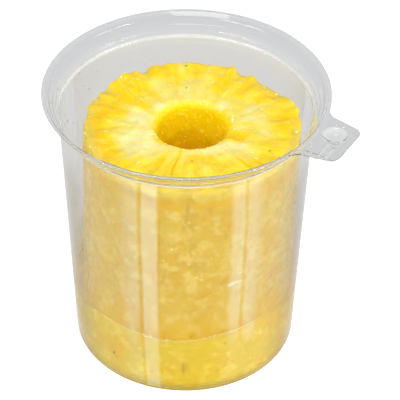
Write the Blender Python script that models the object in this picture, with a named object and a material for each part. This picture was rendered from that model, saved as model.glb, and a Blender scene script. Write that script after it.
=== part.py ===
"""A peeled, cored pineapple standing in its own open clear tub, with the juice it has let go.

Three solids: the thermoformed tub with its opening tab, the pineapple, and the juice.
The tub stands on z = 0 with its axis on x = y = 0. The tab points to the front right.
"""

import math

import bmesh
import bpy
from mathutils import Vector, noise

MM = 0.001

# The tub: a 5 inch deli rim on a wall that tapers about 3 degrees
RIM_RADIUS = 64.0 * MM
TUB_HEIGHT = 135.3 * MM
BASE_RADIUS = 50.8 * MM
BASE_CORNER = 4.2 * MM
WALL_THICKNESS = 0.6 * MM
WALL_TOP_RADIUS = 56.7 * MM
WALL_TOP_Z = 125.2 * MM
STEP_RADIUS = 57.5 * MM
STEP_Z = 126.3 * MM
CREASE_RADIUS = 59.4 * MM
CREASE_Z = 130.0 * MM
LIP_WIDTH = 1.2 * MM
TUB_SEGMENTS = 72

# The opening tab, measured out along its own axis and across it
TAB_ANGLE = math.radians(-30.0)
TAB_REACH = 80.6 * MM
TAB_ROOT_HALF = 17.6 * MM
TAB_ROOT_INSET = 1.7 * MM
TAB_ROOT_FLARE = 1.5 * MM
TAB_ROOT_END = RIM_RADIUS - 0.1 * MM
TAB_NECK = 65.6 * MM
TAB_NECK_HALF = 15.2 * MM
TAB_SHOULDER = 76.4 * MM
TAB_SHOULDER_HALF = 13.3 * MM
TAB_END_HALF = 8.4 * MM
TAB_THICKNESS = 0.5 * MM
TAB_TOP_Z = TUB_HEIGHT - 0.05 * MM
TAB_BITE = 0.6 * MM
TAB_BITE_TRIM = 0.6 * MM
TAB_ARC_STEPS = 5
CUP_ALONG = 71.0 * MM
CUP_ACROSS = -5.1 * MM
CUP_RADIUS = 5.3 * MM
CUP_FLOOR_RADIUS = 2.9 * MM
CUP_DEPTH = 3.0 * MM

# The pineapple: a 3 3/4 inch cylinder with a 1 1/4 inch core cut out of it
FRUIT_TOP_Z = 116.5 * MM
FRUIT_BOTTOM_Z = 2.0 * MM
FRUIT_TOP_RADIUS = 48.7 * MM
FRUIT_BOTTOM_RADIUS = 48.1 * MM
BORE_RADIUS = 15.8 * MM
MOUTH_ROUND = 4.0 * MM
RIM_ROUND = 1.5 * MM
FOOT_ROUND = 5.0 * MM
FRUIT_BOTTOM_X = 0.5 * MM
FRUIT_TOP_X = 2.6 * MM
FRUIT_SEGMENTS = 96

# Relief of the torn and cut cells. It bites inwards: little stands proud of the cutter's cylinder
RELIEF_REACH = 0.4 * MM
RELIEF_BIAS = 0.25 * MM
LUMP_SIZE = 9.0 * MM
LUMP_HEIGHT = 1.3 * MM
CHIP_SIZE = 4.4 * MM
CHIP_HEIGHT = 0.6 * MM
CHIP_OFFSET = Vector((7, 3, 5))
BORE_RELIEF = 0.4
SIDE_MARK_START = 0.9 * FRUIT_TOP_RADIUS
FOOT_FADE = 1.6 * FOOT_ROUND
SEAM_HALF_WIDTH = 1.5 * MM
SEAM_DEPTH = 1.1 * MM
# Seams between fruitlets that reach the top face, degrees round the bore
SEAMS = (8, 31, 49, 64, 88, 107, 127, 146, 161, 184, 209, 228, 251, 274, 291, 316, 338)
# Bites out of the top edge: centre and half width in degrees, depth in mm
EDGE_CHIP_SPAN = 11.0 * MM
EDGE_CHIPS = (
    (25, 4, 0.5), (36, 5, 1.6), (45, 4.5, 2.0), (60, 3.4, 3.0), (70, 4, 1.8), (79, 5, 1.6),
    (90, 4, 0.4), (106, 4, 0.5), (118, 2.5, 1.6), (135, 3, 0.6), (155, 2.2, 1.6), (160, 2, 0.6),
    (169.5, 3.5, 1.9), (190, 5, 0.3), (212, 6, 1.0), (236, 7, 1.0), (262, 6, 0.8), (287, 8, 1.2),
    (312, 6, 0.9), (332, 5, 0.7),
)
# Cells along the back edge that stand up: centre and half width in degrees, height in mm
EDGE_RISE_SPAN = 14.0 * MM
EDGE_RISES = ((95, 50, 1.3), (66.5, 1.6, 1.2), (97, 3, 0.5), (127, 4, 0.6), (14, 8, 1.4))
# Creases and gouges down the side: degrees, height, half width, half height, depth, in mm
SIDE_MARKS = (
    (268, 100, 2.2, 13, 1.5), (272, 69, 3.6, 6, 1.5), (246, 17, 2.6, 4, 1.5),
    (268, 14, 2.2, 3, 1.7), (225, 62, 2.4, 16, 0.9), (300, 88, 2.4, 17, 1.0),
    (322, 42, 2.8, 12, 1.0), (195, 84, 2.4, 15, 1.0), (160, 60, 3.0, 13, 1.1),
    (118, 86, 2.8, 15, 1.0), (84, 52, 2.8, 14, 1.1), (47, 80, 2.6, 16, 1.0),
    (12, 58, 2.6, 14, 1.1), (350, 96, 2.2, 10, 0.9), (140, 30, 3.0, 9, 1.0),
    (62, 24, 3.0, 8, 1.0), (5, 22, 2.8, 8, 1.0),
)

# The juice lies in the foot of the tub, under the fruit and up inside its bore
JUICE_LEVEL = 30.5 * MM
GAP = 0.3 * MM


def clear_scene():
    for old in list(bpy.data.objects):
        bpy.data.objects.remove(old, do_unlink=True)


def finish(name, colour, roughness, transmission=0.0):
    """A Principled material for one sub-part."""
    made = bpy.data.materials.new(name)
    made.use_nodes = True
    shader = made.node_tree.nodes["Principled BSDF"]
    shader.inputs["Base Color"].default_value = (*colour, 1.0)
    shader.inputs["Roughness"].default_value = roughness
    shader.inputs["Metallic"].default_value = 0.0
    shader.inputs["Transmission Weight"].default_value = transmission
    return made


def add_object(name, mesh_builder, material):
    """Turns a bmesh into a smooth shaded object whose faces point outwards."""
    bmesh.ops.recalc_face_normals(mesh_builder, faces=mesh_builder.faces)
    mesh = bpy.data.meshes.new(name)
    mesh_builder.to_mesh(mesh)
    mesh_builder.free()
    mesh.shade_smooth()
    mesh.set_sharp_from_angle(angle=math.radians(35))
    made = bpy.data.objects.new(name, mesh)
    bpy.context.scene.collection.objects.link(made)
    if material:
        mesh.materials.append(material)
    return made


def spin_rings(rings, start=None, end=None):
    """Joins rings of points in order. A pole closes either end, and without poles the rings make a loop."""
    builder = bmesh.new()
    rows = [[builder.verts.new(point) for point in ring] for ring in rings]
    count = len(rows[0])
    pairs = list(zip(rows, rows[1:]))
    if start is None and end is None:
        pairs.append((rows[-1], rows[0]))
    for lower, upper in pairs:
        for i in range(count):
            j = (i + 1) % count
            builder.faces.new((lower[i], lower[j], upper[j], upper[i]))
    for pole, row in ((start, rows[0]), (end, rows[-1])):
        if pole is None:
            continue
        centre = builder.verts.new(pole)
        for i in range(count):
            builder.faces.new((centre, row[(i + 1) % count], row[i]))
    return builder


def circle(radius, z, count, centre_x=0.0):
    return [
        Vector((centre_x + radius * math.cos(a), radius * math.sin(a), z))
        for a in (2 * math.pi * i / count for i in range(count))
    ]


def arc(centre, radius, first, last, steps):
    """Points of an arc in a profile plane, angles in degrees."""
    return [
        (
            centre[0] + radius * math.cos(math.radians(first + (last - first) * i / steps)),
            centre[1] + radius * math.sin(math.radians(first + (last - first) * i / steps)),
        )
        for i in range(steps + 1)
    ]


def line(first, last, steps):
    """Points after first, up to and including last."""
    return [
        (
            first[0] + (last[0] - first[0]) * i / steps,
            first[1] + (last[1] - first[1]) * i / steps,
        )
        for i in range(1, steps + 1)
    ]


def inset(profile, distance):
    """The profile moved to its left by a constant distance, mitred at its corners."""
    moved = []
    for i, here in enumerate(profile):
        before = Vector(profile[max(i - 1, 0)])
        after = Vector(profile[min(i + 1, len(profile) - 1)])
        into = (Vector(here) - before).normalized() if i else None
        out = (after - Vector(here)).normalized() if i < len(profile) - 1 else None
        into = into or out
        out = out or into
        left = Vector((-(into.y + out.y), into.x + out.x)).normalized()
        square = Vector((-into.y, into.x))
        moved.append(tuple(Vector(here) + left * distance / left.dot(square)))
    return moved


# ------------------------------------------------------------------ the tub


def tub_outside():
    """The outer face of the tub, from the edge of its flat base up to the lip."""
    corner = arc((BASE_RADIUS - BASE_CORNER, BASE_CORNER), BASE_CORNER, -90, -3, 4)
    wall_top = (WALL_TOP_RADIUS, WALL_TOP_Z)
    lip_foot = (RIM_RADIUS - LIP_WIDTH, TUB_HEIGHT - WALL_THICKNESS)
    lip_edge = (RIM_RADIUS, TUB_HEIGHT - WALL_THICKNESS)
    return (
        corner
        + line(corner[-1], wall_top, 3)
        + [(STEP_RADIUS, STEP_Z), (CREASE_RADIUS, CREASE_Z), lip_foot, lip_edge]
    )


def make_tub(material):
    outside = tub_outside()
    inside = inset(outside, WALL_THICKNESS)
    inside[0] = (inside[0][0], WALL_THICKNESS)
    inside[-1] = (RIM_RADIUS, TUB_HEIGHT)
    rings = [circle(r, z, TUB_SEGMENTS) for r, z in outside + inside[::-1]]
    shell = spin_rings(rings, start=(0, 0, 0), end=(0, 0, WALL_THICKNESS))
    return add_object("tub", shell, material)


def tab_outline():
    """The tab seen from above, along its axis and across it, ending in an arc inside the lip."""
    half = [(RIM_RADIUS - TAB_ROOT_INSET, TAB_ROOT_HALF), (TAB_ROOT_END, TAB_ROOT_HALF - TAB_ROOT_FLARE)]
    half += [(TAB_NECK, TAB_NECK_HALF), (TAB_SHOULDER, TAB_SHOULDER_HALF)]
    corner_reach = TAB_REACH - TAB_SHOULDER
    corner_width = TAB_SHOULDER_HALF - TAB_END_HALF
    for step in range(1, 5):
        turn = math.radians(90 * step / 4)
        half.append(
            (
                TAB_SHOULDER + corner_reach * math.sin(turn),
                TAB_END_HALF + corner_width * math.cos(turn),
            )
        )
    bite = RIM_RADIUS - TAB_BITE
    spread = math.asin((TAB_ROOT_HALF - TAB_BITE_TRIM) / bite)
    steps = range(-TAB_ARC_STEPS, TAB_ARC_STEPS + 1)
    turns = [spread * k / TAB_ARC_STEPS for k in steps]
    inner = [(bite * math.cos(turn), bite * math.sin(turn)) for turn in turns]
    return half + [(x, -y) for x, y in half[::-1]] + inner


def to_tab(along, across, z):
    """A point of the tab's own frame in the frame of the tub."""
    turn = Vector((math.cos(TAB_ANGLE), math.sin(TAB_ANGLE)))
    side = Vector((turn.y, -turn.x))
    place = turn * along + side * across
    return (place.x, place.y, z)


def prism(outline, bottom, top):
    builder = bmesh.new()
    lower = [builder.verts.new(to_tab(x, y, bottom)) for x, y in outline]
    upper = [builder.verts.new(to_tab(x, y, top)) for x, y in outline]
    builder.faces.new(lower)
    builder.faces.new(upper)
    for i in range(len(outline)):
        j = (i + 1) % len(outline)
        builder.faces.new((lower[i], lower[j], upper[j], upper[i]))
    return builder


def frustum(bottom_radius, top_radius, bottom, top, count=24):
    """A short cone on the cup's own axis."""
    rings = []
    for radius, z in ((bottom_radius, bottom), (top_radius, top)):
        turns = (2 * math.pi * i / count for i in range(count))
        rings.append(
            [
                to_tab(CUP_ALONG + radius * math.cos(a), CUP_ACROSS + radius * math.sin(a), z)
                for a in turns
            ]
        )
    centre = (CUP_ALONG, CUP_ACROSS)
    return spin_rings(rings, start=to_tab(*centre, bottom), end=to_tab(*centre, top))


def as_tool(helper):
    helper.hide_render = True
    helper.display_type = "WIRE"
    return helper


def combine(body, tool, operation):
    change = body.modifiers.new(tool.name, "BOOLEAN")
    change.operation = operation
    change.object = tool
    change.solver = "EXACT"


def add_tab(tub):
    """Welds the tab to the lip, with the thin-walled cup pressed down into it."""
    plate_bottom = TAB_TOP_Z - TAB_THICKNESS
    slope = (CUP_RADIUS - CUP_FLOOR_RADIUS) / CUP_DEPTH
    floor = TAB_TOP_Z - CUP_DEPTH
    shell_top = TAB_TOP_Z - TAB_THICKNESS / 2
    over = 1.0 * MM
    plate = add_object("tab_plate", prism(tab_outline(), plate_bottom, TAB_TOP_Z), None)
    shell_top_radius = CUP_RADIUS + TAB_THICKNESS - slope * (TAB_TOP_Z - shell_top)
    shell = frustum(CUP_FLOOR_RADIUS + TAB_THICKNESS, shell_top_radius, floor - TAB_THICKNESS, shell_top)
    cup = add_object("tab_cup", shell, None)
    hollow = frustum(CUP_FLOOR_RADIUS, CUP_RADIUS + slope * over, floor, TAB_TOP_Z + over)
    press = add_object("tab_cup_hollow", hollow, None)
    combine(tub, as_tool(plate), "UNION")
    combine(tub, as_tool(cup), "UNION")
    combine(tub, as_tool(press), "DIFFERENCE")


# ------------------------------------------------------------ the pineapple


def lean(z):
    """How far the fruit's axis stands off the tub's at a height."""
    share = (z - FRUIT_BOTTOM_Z) / (FRUIT_TOP_Z - FRUIT_BOTTOM_Z)
    return FRUIT_BOTTOM_X + (FRUIT_TOP_X - FRUIT_BOTTOM_X) * share


def side_radius(z):
    """The radius that the cutter left at a height."""
    share = (z - FRUIT_BOTTOM_Z) / (FRUIT_TOP_Z - FRUIT_BOTTOM_Z)
    return FRUIT_BOTTOM_RADIUS + (FRUIT_TOP_RADIUS - FRUIT_BOTTOM_RADIUS) * share


def fruit_profile():
    """The cut face of the ring of flesh, a closed loop of (radius, z) that starts at the bore's foot."""
    top, foot = FRUIT_TOP_Z, FRUIT_BOTTOM_Z
    bore_top = (BORE_RADIUS, top - MOUTH_ROUND)
    points = [(BORE_RADIUS, foot)] + line((BORE_RADIUS, foot), bore_top, 9)
    mouth = arc((BORE_RADIUS + MOUTH_ROUND, top - MOUTH_ROUND), MOUTH_ROUND, 180, 90, 3)
    points += mouth[1:]
    points += line(mouth[-1], (FRUIT_TOP_RADIUS - RIM_ROUND, top), 8)
    points += arc((FRUIT_TOP_RADIUS - RIM_ROUND, top - RIM_ROUND), RIM_ROUND, 90, 0, 2)[1:]
    side_foot = (FRUIT_BOTTOM_RADIUS, foot + FOOT_ROUND)
    points += line(points[-1], side_foot, 20)
    points += arc((FRUIT_BOTTOM_RADIUS - FOOT_ROUND, foot + FOOT_ROUND), FOOT_ROUND, 0, -90, 2)[1:]
    return points


def profile_normals(points):
    """Unit directions out of the flesh, one for each station of the closed loop."""
    found = []
    for i in range(len(points)):
        along = Vector(points[(i + 1) % len(points)]) - Vector(points[i - 1])
        found.append(Vector((-along.y, along.x)).normalized())
    return found


def bump(distance, half_width):
    """1 at the middle of a mark, falling smoothly to 0 at twice its half width."""
    share = abs(distance) / (2 * half_width)
    return (1 - share * share) ** 2 if share < 1 else 0.0


def turn_between(angle, degrees):
    """The signed angle from a mark to a point, in degrees."""
    return (math.degrees(angle) - degrees + 180) % 360 - 180


def relief(angle, radius, z):
    """How far the flesh stands proud of its plain cylinder."""
    place = Vector((radius * math.cos(angle), radius * math.sin(angle), z))
    from_top = FRUIT_TOP_Z - z
    outer = min(max((radius - BORE_RADIUS) / (FRUIT_TOP_RADIUS - BORE_RADIUS), 0), 1)
    strength = BORE_RELIEF + (1 - BORE_RELIEF) * outer
    lumps = noise.fractal(place / LUMP_SIZE, 1.0, 2.0, 2) * LUMP_HEIGHT
    chips = noise.noise(place / CHIP_SIZE + CHIP_OFFSET) * CHIP_HEIGHT
    height = strength * (lumps + chips - RELIEF_BIAS)
    if from_top < 2 * RIM_ROUND:
        across = (math.radians(turn_between(angle, degrees)) * radius for degrees in SEAMS)
        groove = max(bump(distance, SEAM_HALF_WIDTH) for distance in across)
        height -= groove * SEAM_DEPTH * outer
    if radius > SIDE_MARK_START:
        for degrees, middle, half_width, half_height, depth in SIDE_MARKS:
            across = math.radians(turn_between(angle, degrees)) * radius
            mark = bump(across, half_width * MM) * bump(z - middle * MM, half_height * MM)
            height -= mark * depth * MM
    fade = min((z - FRUIT_BOTTOM_Z) / FOOT_FADE, 1)
    return min(height, RELIEF_REACH) * fade


def at_edge(angle, radius, z, marks, span):
    """The marks of the top edge at an angle, fading to nothing at a distance of span from it."""
    near = math.hypot(FRUIT_TOP_RADIUS - radius, FRUIT_TOP_Z - z) / span
    if near >= 1:
        return 0.0
    found = (bump(turn_between(angle, at), half) * size for at, half, size in marks)
    return (1 - near * near) * sum(found) * MM


def fruit_point(angle, radius, z, normal):
    """A station of the cut face, turned to an angle and moved by the relief there."""
    amount = relief(angle, radius, z)
    bite = at_edge(angle, radius, z, EDGE_CHIPS, EDGE_CHIP_SPAN) * math.sqrt(0.5)
    rise = at_edge(angle, radius, z, EDGE_RISES, EDGE_RISE_SPAN)
    out = radius + normal.x * amount - bite
    up = z + normal.y * amount - bite + rise
    return Vector((lean(up) + out * math.cos(angle), out * math.sin(angle), up))


def make_pineapple(material):
    profile = fruit_profile()
    normals = profile_normals(profile)
    turns = [2 * math.pi * i / FRUIT_SEGMENTS for i in range(FRUIT_SEGMENTS)]
    rings = []
    for (radius, z), normal in zip(profile, normals):
        rings.append([fruit_point(a, radius, z, normal) for a in turns])
    return add_object("pineapple", spin_rings(rings), material)


# ---------------------------------------------------------------- the juice


def juice_corner():
    """The juice against the inside of the tub, from its foot up to its level."""
    inside = inset(tub_outside(), WALL_THICKNESS + GAP)
    below = [(r, max(z, WALL_THICKNESS + GAP)) for r, z in inside if z < JUICE_LEVEL]
    foot = below[-1]
    wall = inside[len(below)]
    share = (JUICE_LEVEL - foot[1]) / (wall[1] - foot[1])
    return below + [(foot[0] + (wall[0] - foot[0]) * share, JUICE_LEVEL)]


def make_juice(material):
    clear = GAP + RELIEF_REACH
    count = TUB_SEGMENTS
    rings = [circle(r, z, count) for r, z in juice_corner()]
    under = FRUIT_BOTTOM_Z - GAP
    heel_z = FRUIT_BOTTOM_Z + FOOT_ROUND
    heel_radius = side_radius(heel_z) - FOOT_ROUND
    heel = [
        (heel_radius + (FOOT_ROUND + clear) * x, heel_z + (FOOT_ROUND + GAP) * z)
        for x, z in arc((0, 0), 1, 0, -90, 3)
    ]
    waterline = (side_radius(JUICE_LEVEL) + clear, JUICE_LEVEL)
    for radius, z in [waterline] + line(waterline, heel[0], 2) + heel[1:-1]:
        rings.append(circle(radius, z, count, lean(z)))
    rings.append(circle(heel[-1][0], under, count, FRUIT_BOTTOM_X))
    plug = BORE_RADIUS - clear
    for z in (under, JUICE_LEVEL / 2, JUICE_LEVEL):
        rings.append(circle(plug, z, count, lean(z)))
    floor = (0, 0, WALL_THICKNESS + GAP)
    body = spin_rings(rings, start=floor, end=(lean(JUICE_LEVEL), 0, JUICE_LEVEL))
    return add_object("juice", body, material)


def main():
    clear_scene()
    clear_plastic = finish("clear_plastic", (0.86, 0.88, 0.87), 0.05, transmission=0.95)
    tub = make_tub(clear_plastic)
    add_tab(tub)
    make_pineapple(finish("pineapple_flesh", (0.97, 0.72, 0.03), 0.35))
    make_juice(finish("pineapple_juice", (0.93, 0.68, 0.05), 0.08, transmission=0.6))


main()
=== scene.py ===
# %% [markdown]
# # A cored pineapple in its clear tub
# A peeler and corer turn a pineapple into a plain cylinder with a hole down its middle.
# It is sold standing in a thin clear tub, and its own juice gathers round its foot.
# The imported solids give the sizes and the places. This lesson gives them their looks:
# a glossy thermoformed tub, wet fibrous flesh, and juice with a little froth along its edge.

# %% Load the frame
import math

import bpy
import numpy as np
from mathutils import Matrix, Vector, noise


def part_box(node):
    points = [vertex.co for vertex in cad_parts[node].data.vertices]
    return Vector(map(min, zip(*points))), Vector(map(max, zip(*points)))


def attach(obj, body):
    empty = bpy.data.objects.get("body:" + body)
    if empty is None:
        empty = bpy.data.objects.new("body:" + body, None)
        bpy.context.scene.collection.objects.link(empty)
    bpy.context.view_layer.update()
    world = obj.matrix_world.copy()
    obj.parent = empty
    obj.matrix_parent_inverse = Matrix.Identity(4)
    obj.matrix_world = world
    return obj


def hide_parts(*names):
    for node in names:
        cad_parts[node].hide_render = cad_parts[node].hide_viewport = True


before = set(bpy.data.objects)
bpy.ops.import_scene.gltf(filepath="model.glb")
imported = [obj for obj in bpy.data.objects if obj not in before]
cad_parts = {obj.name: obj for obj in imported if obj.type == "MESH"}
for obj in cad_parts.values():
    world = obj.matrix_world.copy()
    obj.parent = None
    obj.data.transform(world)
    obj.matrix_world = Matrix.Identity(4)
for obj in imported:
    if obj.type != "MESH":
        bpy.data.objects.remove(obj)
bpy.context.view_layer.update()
MM = 0.001
tub_low, tub_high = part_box("tub")
print("nodes:", sorted(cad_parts), "height in mm:", round(tub_high.z / MM, 1))

# %% [markdown]
# ## The camera
# A long lens looks down at the tub at about 39 degrees, from a little over a metre away.
# The lens was worked out from the ellipses of the rim and of the base, which flatten differently
# when a camera is near. The shift and the small roll only frame the picture.

# %% Camera
PHOTO_SIZE = 400
SENSOR = 36.0
FOCAL_PIXELS = 2403.6
CAMERA_DISTANCE = 1.1
CAMERA_ELEVATION = math.radians(38.65)
CAMERA_ROLL = 0.009
SHIFT_PIXELS = (14.5, 10.06)


def add_object(name, data):
    made = bpy.data.objects.new(name, data)
    bpy.context.scene.collection.objects.link(made)
    return made


lens = bpy.data.cameras.new("camera")
lens.sensor_width = SENSOR
lens.lens = FOCAL_PIXELS * SENSOR / PHOTO_SIZE
lens.shift_x = SHIFT_PIXELS[0] / PHOTO_SIZE
lens.shift_y = SHIFT_PIXELS[1] / PHOTO_SIZE
camera = add_object("camera", lens)
aim = Vector((0, 0, tub_high.z / 2))
back = Vector((0, -math.cos(CAMERA_ELEVATION), math.sin(CAMERA_ELEVATION)))
right = Vector((1, 0, 0))
turned = Matrix((right, back.cross(right), back)).transposed()
roll = Matrix.Rotation(CAMERA_ROLL, 3, "Z")
camera.matrix_world = Matrix.Translation(aim + back * CAMERA_DISTANCE) @ (turned @ roll).to_4x4()
bpy.context.scene.camera = camera
print("lens in mm:", round(lens.lens, 1))

# %% [markdown]
# ## Small helpers for node trees
# Materials and Geometry Nodes trees are both made of nodes with sockets. One helper adds a node,
# fills its sockets with numbers or with links, and hands it back, so a tree reads from top to bottom.

# %% Node helpers


def add_node(tree, kind, sockets=None, **settings):
    """Adds a node. A socket, by name or number, takes a value or the output of another node."""
    made = tree.nodes.new(kind)
    for name, value in settings.items():
        setattr(made, name, value)
    for socket, value in (sockets or {}).items():
        if isinstance(value, bpy.types.NodeSocket):
            tree.links.new(value, made.inputs[socket])
        else:
            made.inputs[socket].default_value = value
    return made


def output_of(tree, kind, sockets=None, **settings):
    """The first output of a new node."""
    return add_node(tree, kind, sockets, **settings).outputs[0]


def maths(tree, operation, first, second=0.0, clamp=False):
    return output_of(tree, "ShaderNodeMath", {0: first, 1: second}, operation=operation, use_clamp=clamp)


def times(tree, first, second, clamp=False):
    return maths(tree, "MULTIPLY", first, second, clamp)


def plus(tree, first, second):
    return maths(tree, "ADD", first, second)


def minus(tree, first, second):
    return maths(tree, "SUBTRACT", first, second)


def ramp(tree, value, low, high, to_low=0.0, to_high=1.0):
    """A smooth step from to_low to to_high as value goes from low to high."""
    sockets = {"Value": value, "From Min": low, "From Max": high, "To Min": to_low, "To Max": to_high}
    return output_of(tree, "ShaderNodeMapRange", sockets, interpolation_type="SMOOTHSTEP")


print("node helpers ready")

# %% Helpers for noise and colour


def noise_of(tree, vector, scale, detail=2.0, roughness=0.5):
    sockets = {"Vector": vector, "Scale": scale, "Detail": detail, "Roughness": roughness}
    return add_node(tree, "ShaderNodeTexNoise", sockets).outputs["Fac"]


def swing(tree, vector, scale, gain, *detail):
    """A noise about zero, with its gain."""
    return times(tree, minus(tree, noise_of(tree, vector, scale, *detail), 0.5), gain)


def mixed(tree, share, first, second):
    """A colour between two colours, each a tuple or a socket."""
    sockets = {0: share}
    for place, colour in ((6, first), (7, second)):
        sockets[place] = colour if isinstance(colour, bpy.types.NodeSocket) else (*colour, 1.0)
    return add_node(tree, "ShaderNodeMix", sockets, data_type="RGBA").outputs[2]


def xyz(tree, vector):
    return add_node(tree, "ShaderNodeSeparateXYZ", {0: vector}).outputs


print("helpers for noise and colour ready")

# %% Helpers for materials


def new_material(name):
    made = bpy.data.materials.new(name)
    made.use_nodes = True
    made.node_tree.nodes.clear()
    output = made.node_tree.nodes.new("ShaderNodeOutputMaterial")
    return made, made.node_tree, output


def object_place(tree):
    return add_node(tree, "ShaderNodeTexCoord").outputs["Object"]


def is_ray(tree, kind):
    return add_node(tree, "ShaderNodeLightPath").outputs[f"Is {kind} Ray"]


def attribute(tree, title):
    """A number that the mesh carries at each of its points."""
    return add_node(tree, "ShaderNodeAttribute", attribute_name=title).outputs["Fac"]


def edge_on(tree):
    """0 where a face looks at the camera, and 1 where it is seen edge on."""
    return add_node(tree, "ShaderNodeLayerWeight", {"Blend": 0.5}).outputs["Facing"]


def principled(tree, sockets):
    return output_of(tree, "ShaderNodeBsdfPrincipled", sockets)


def clear(tree, colour):
    return output_of(tree, "ShaderNodeBsdfTransparent", {"Color": (*colour, 1)})


def blend(tree, share, first, second):
    """The first shader where share is 0, and the second where it is 1."""
    return output_of(tree, "ShaderNodeMixShader", {0: share, 1: first, 2: second})


print("material helpers ready")

# %% [markdown]
# ## The studio
# Product shots of clear plastic are lit by tall softboxes on both sides, which draw bright upright
# bands on a round wall. The table is a sheet of white acrylic lit from below, so nothing throws a
# shadow on it. It is burnt out to white, while what shows through the plastic keeps a light grey.
# Light Path tells the kinds of ray apart. Mirror rays pass the floor, because the softboxes reach
# below the table's edge.

# %% Floor
WHITE = (1, 1, 1)
FLOOR_SIZE = 6.0
FLOOR_PAINT = (0.25, 0.25, 0.25)
FLOOR_GREY = (0.47, 0.475, 0.48)

floor_mesh = bpy.data.meshes.new("floor")
half = FLOOR_SIZE / 2
corners = [(-half, -half, 0), (half, -half, 0), (half, half, 0), (-half, half, 0)]
floor_mesh.from_pydata(corners, [], [(0, 1, 2, 3)])
floor = add_object("floor", floor_mesh)
floor.visible_glossy = False

floor_paint, tree, output = new_material("pale_floor")
glow = mixed(tree, is_ray(tree, "Camera"), FLOOR_GREY, WHITE)
paint = {"Base Color": (*FLOOR_PAINT, 1), "Roughness": 0.9, "Emission Color": glow, "Emission Strength": 1.0}
tree.links.new(principled(tree, paint), output.inputs[0])
floor_mesh.materials.append(floor_paint)
print("floor side in m:", FLOOR_SIZE)

# %% The room
# What mirrors see: a dark stretch behind the camera, a pale table round the rest, and a grey ceiling
ROOM_FRONT = 0.10
ROOM_TABLE = 0.80
ROOM_CEILING = 0.38
ROOM_UNDER = 0.32
# What lights the fruit, and what shows through the plastic
ROOM_LIGHT = (0.46, 0.465, 0.47)
ROOM_THROUGH = (0.66, 0.665, 0.67)
# Between which slopes of a ray the ceiling, the underside, the front and the table turn into each other
TABLE_SLOPES = (0.05, -0.15)
UNDER_SLOPES = (-0.93, -0.8)
FRONT_SLOPES = (-0.62, -0.3)
RISING_SLOPES = (-0.3, 0.1)

world = bpy.data.worlds.new("studio")
world.use_nodes = True
tree = world.node_tree
tree.nodes.clear()
rays = add_node(tree, "ShaderNodeLightPath").outputs
toward = add_node(tree, "ShaderNodeTexCoord").outputs["Generated"]
axes = xyz(tree, toward)
below = ramp(tree, axes[2], *TABLE_SLOPES, ROOM_CEILING, ROOM_TABLE)
below = times(tree, below, ramp(tree, axes[2], *UNDER_SLOPES, ROOM_UNDER / ROOM_TABLE, 1.0))
rising = ramp(tree, axes[2], *RISING_SLOPES)
elsewhere = maths(tree, "MAXIMUM", ramp(tree, axes[1], *FRONT_SLOPES), rising)
mirrored = plus(tree, times(tree, elsewhere, minus(tree, below, ROOM_FRONT)), ROOM_FRONT)
# A refracted ray also counts as glossy, so only a reflected one is a mirror ray
bounced = times(tree, rays["Is Glossy Ray"], rays["Is Reflection Ray"])
colour = mixed(tree, rays["Is Diffuse Ray"], ROOM_THROUGH, ROOM_LIGHT)
colour = mixed(tree, rays["Is Camera Ray"], colour, WHITE)
colour = mixed(tree, bounced, colour, WHITE)
strength = output_of(tree, "ShaderNodeMix", {0: bounced, 2: 1.0, 3: mirrored})
sky = output_of(tree, "ShaderNodeBackground", {"Color": colour, "Strength": strength})
add_node(tree, "ShaderNodeOutputWorld", {0: sky})
bpy.context.scene.world = world
print("room: front", ROOM_FRONT, "table", ROOM_TABLE, "ceiling", ROOM_CEILING)

# %% Softboxes
# Each is a glowing card that only mirrors see: degrees round the tub from the camera's side, to the
# right positive, width, brightness, how much of its left and of its right half fades out, and how much
# glow its foot keeps. The narrow gaps between cards are the boxes' frames. Daylight tubes make the
# cards a little blue, so the bands read as white on yellow flesh.
PANEL_DISTANCE = 1.0
PANEL_LOW = -1.4
PANEL_HIGH = 0.32
PANEL_TOP_GAIN = 3.4
PANEL_SAG = 0.03
PANEL_SAG_SIZE = 5.0
PANEL_BLUE = (0.42, 0.72, 1.0)
# Heights in metres, from the tub's foot, over which the glow gains, its foot fades and the blue ends
PANEL_GAIN_HEIGHTS = (-0.2, 0.1)
PANEL_FOOT_HEIGHTS = (-1.0, -0.95)
PANEL_BLUE_HEIGHTS = (-0.6, -0.2)
PANELS = (
    (-57.6, 0.45, 3.1, 1.3, 0.26, 0.6), (-34.6, 0.335, 4.6, 0.26, 0.4, 0.75),
    (50.6, 0.32, 3.8, 0.9, 0.26, 0.3), (72.4, 0.43, 3.3, 0.26, 1.3, 0.25),
)


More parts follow.
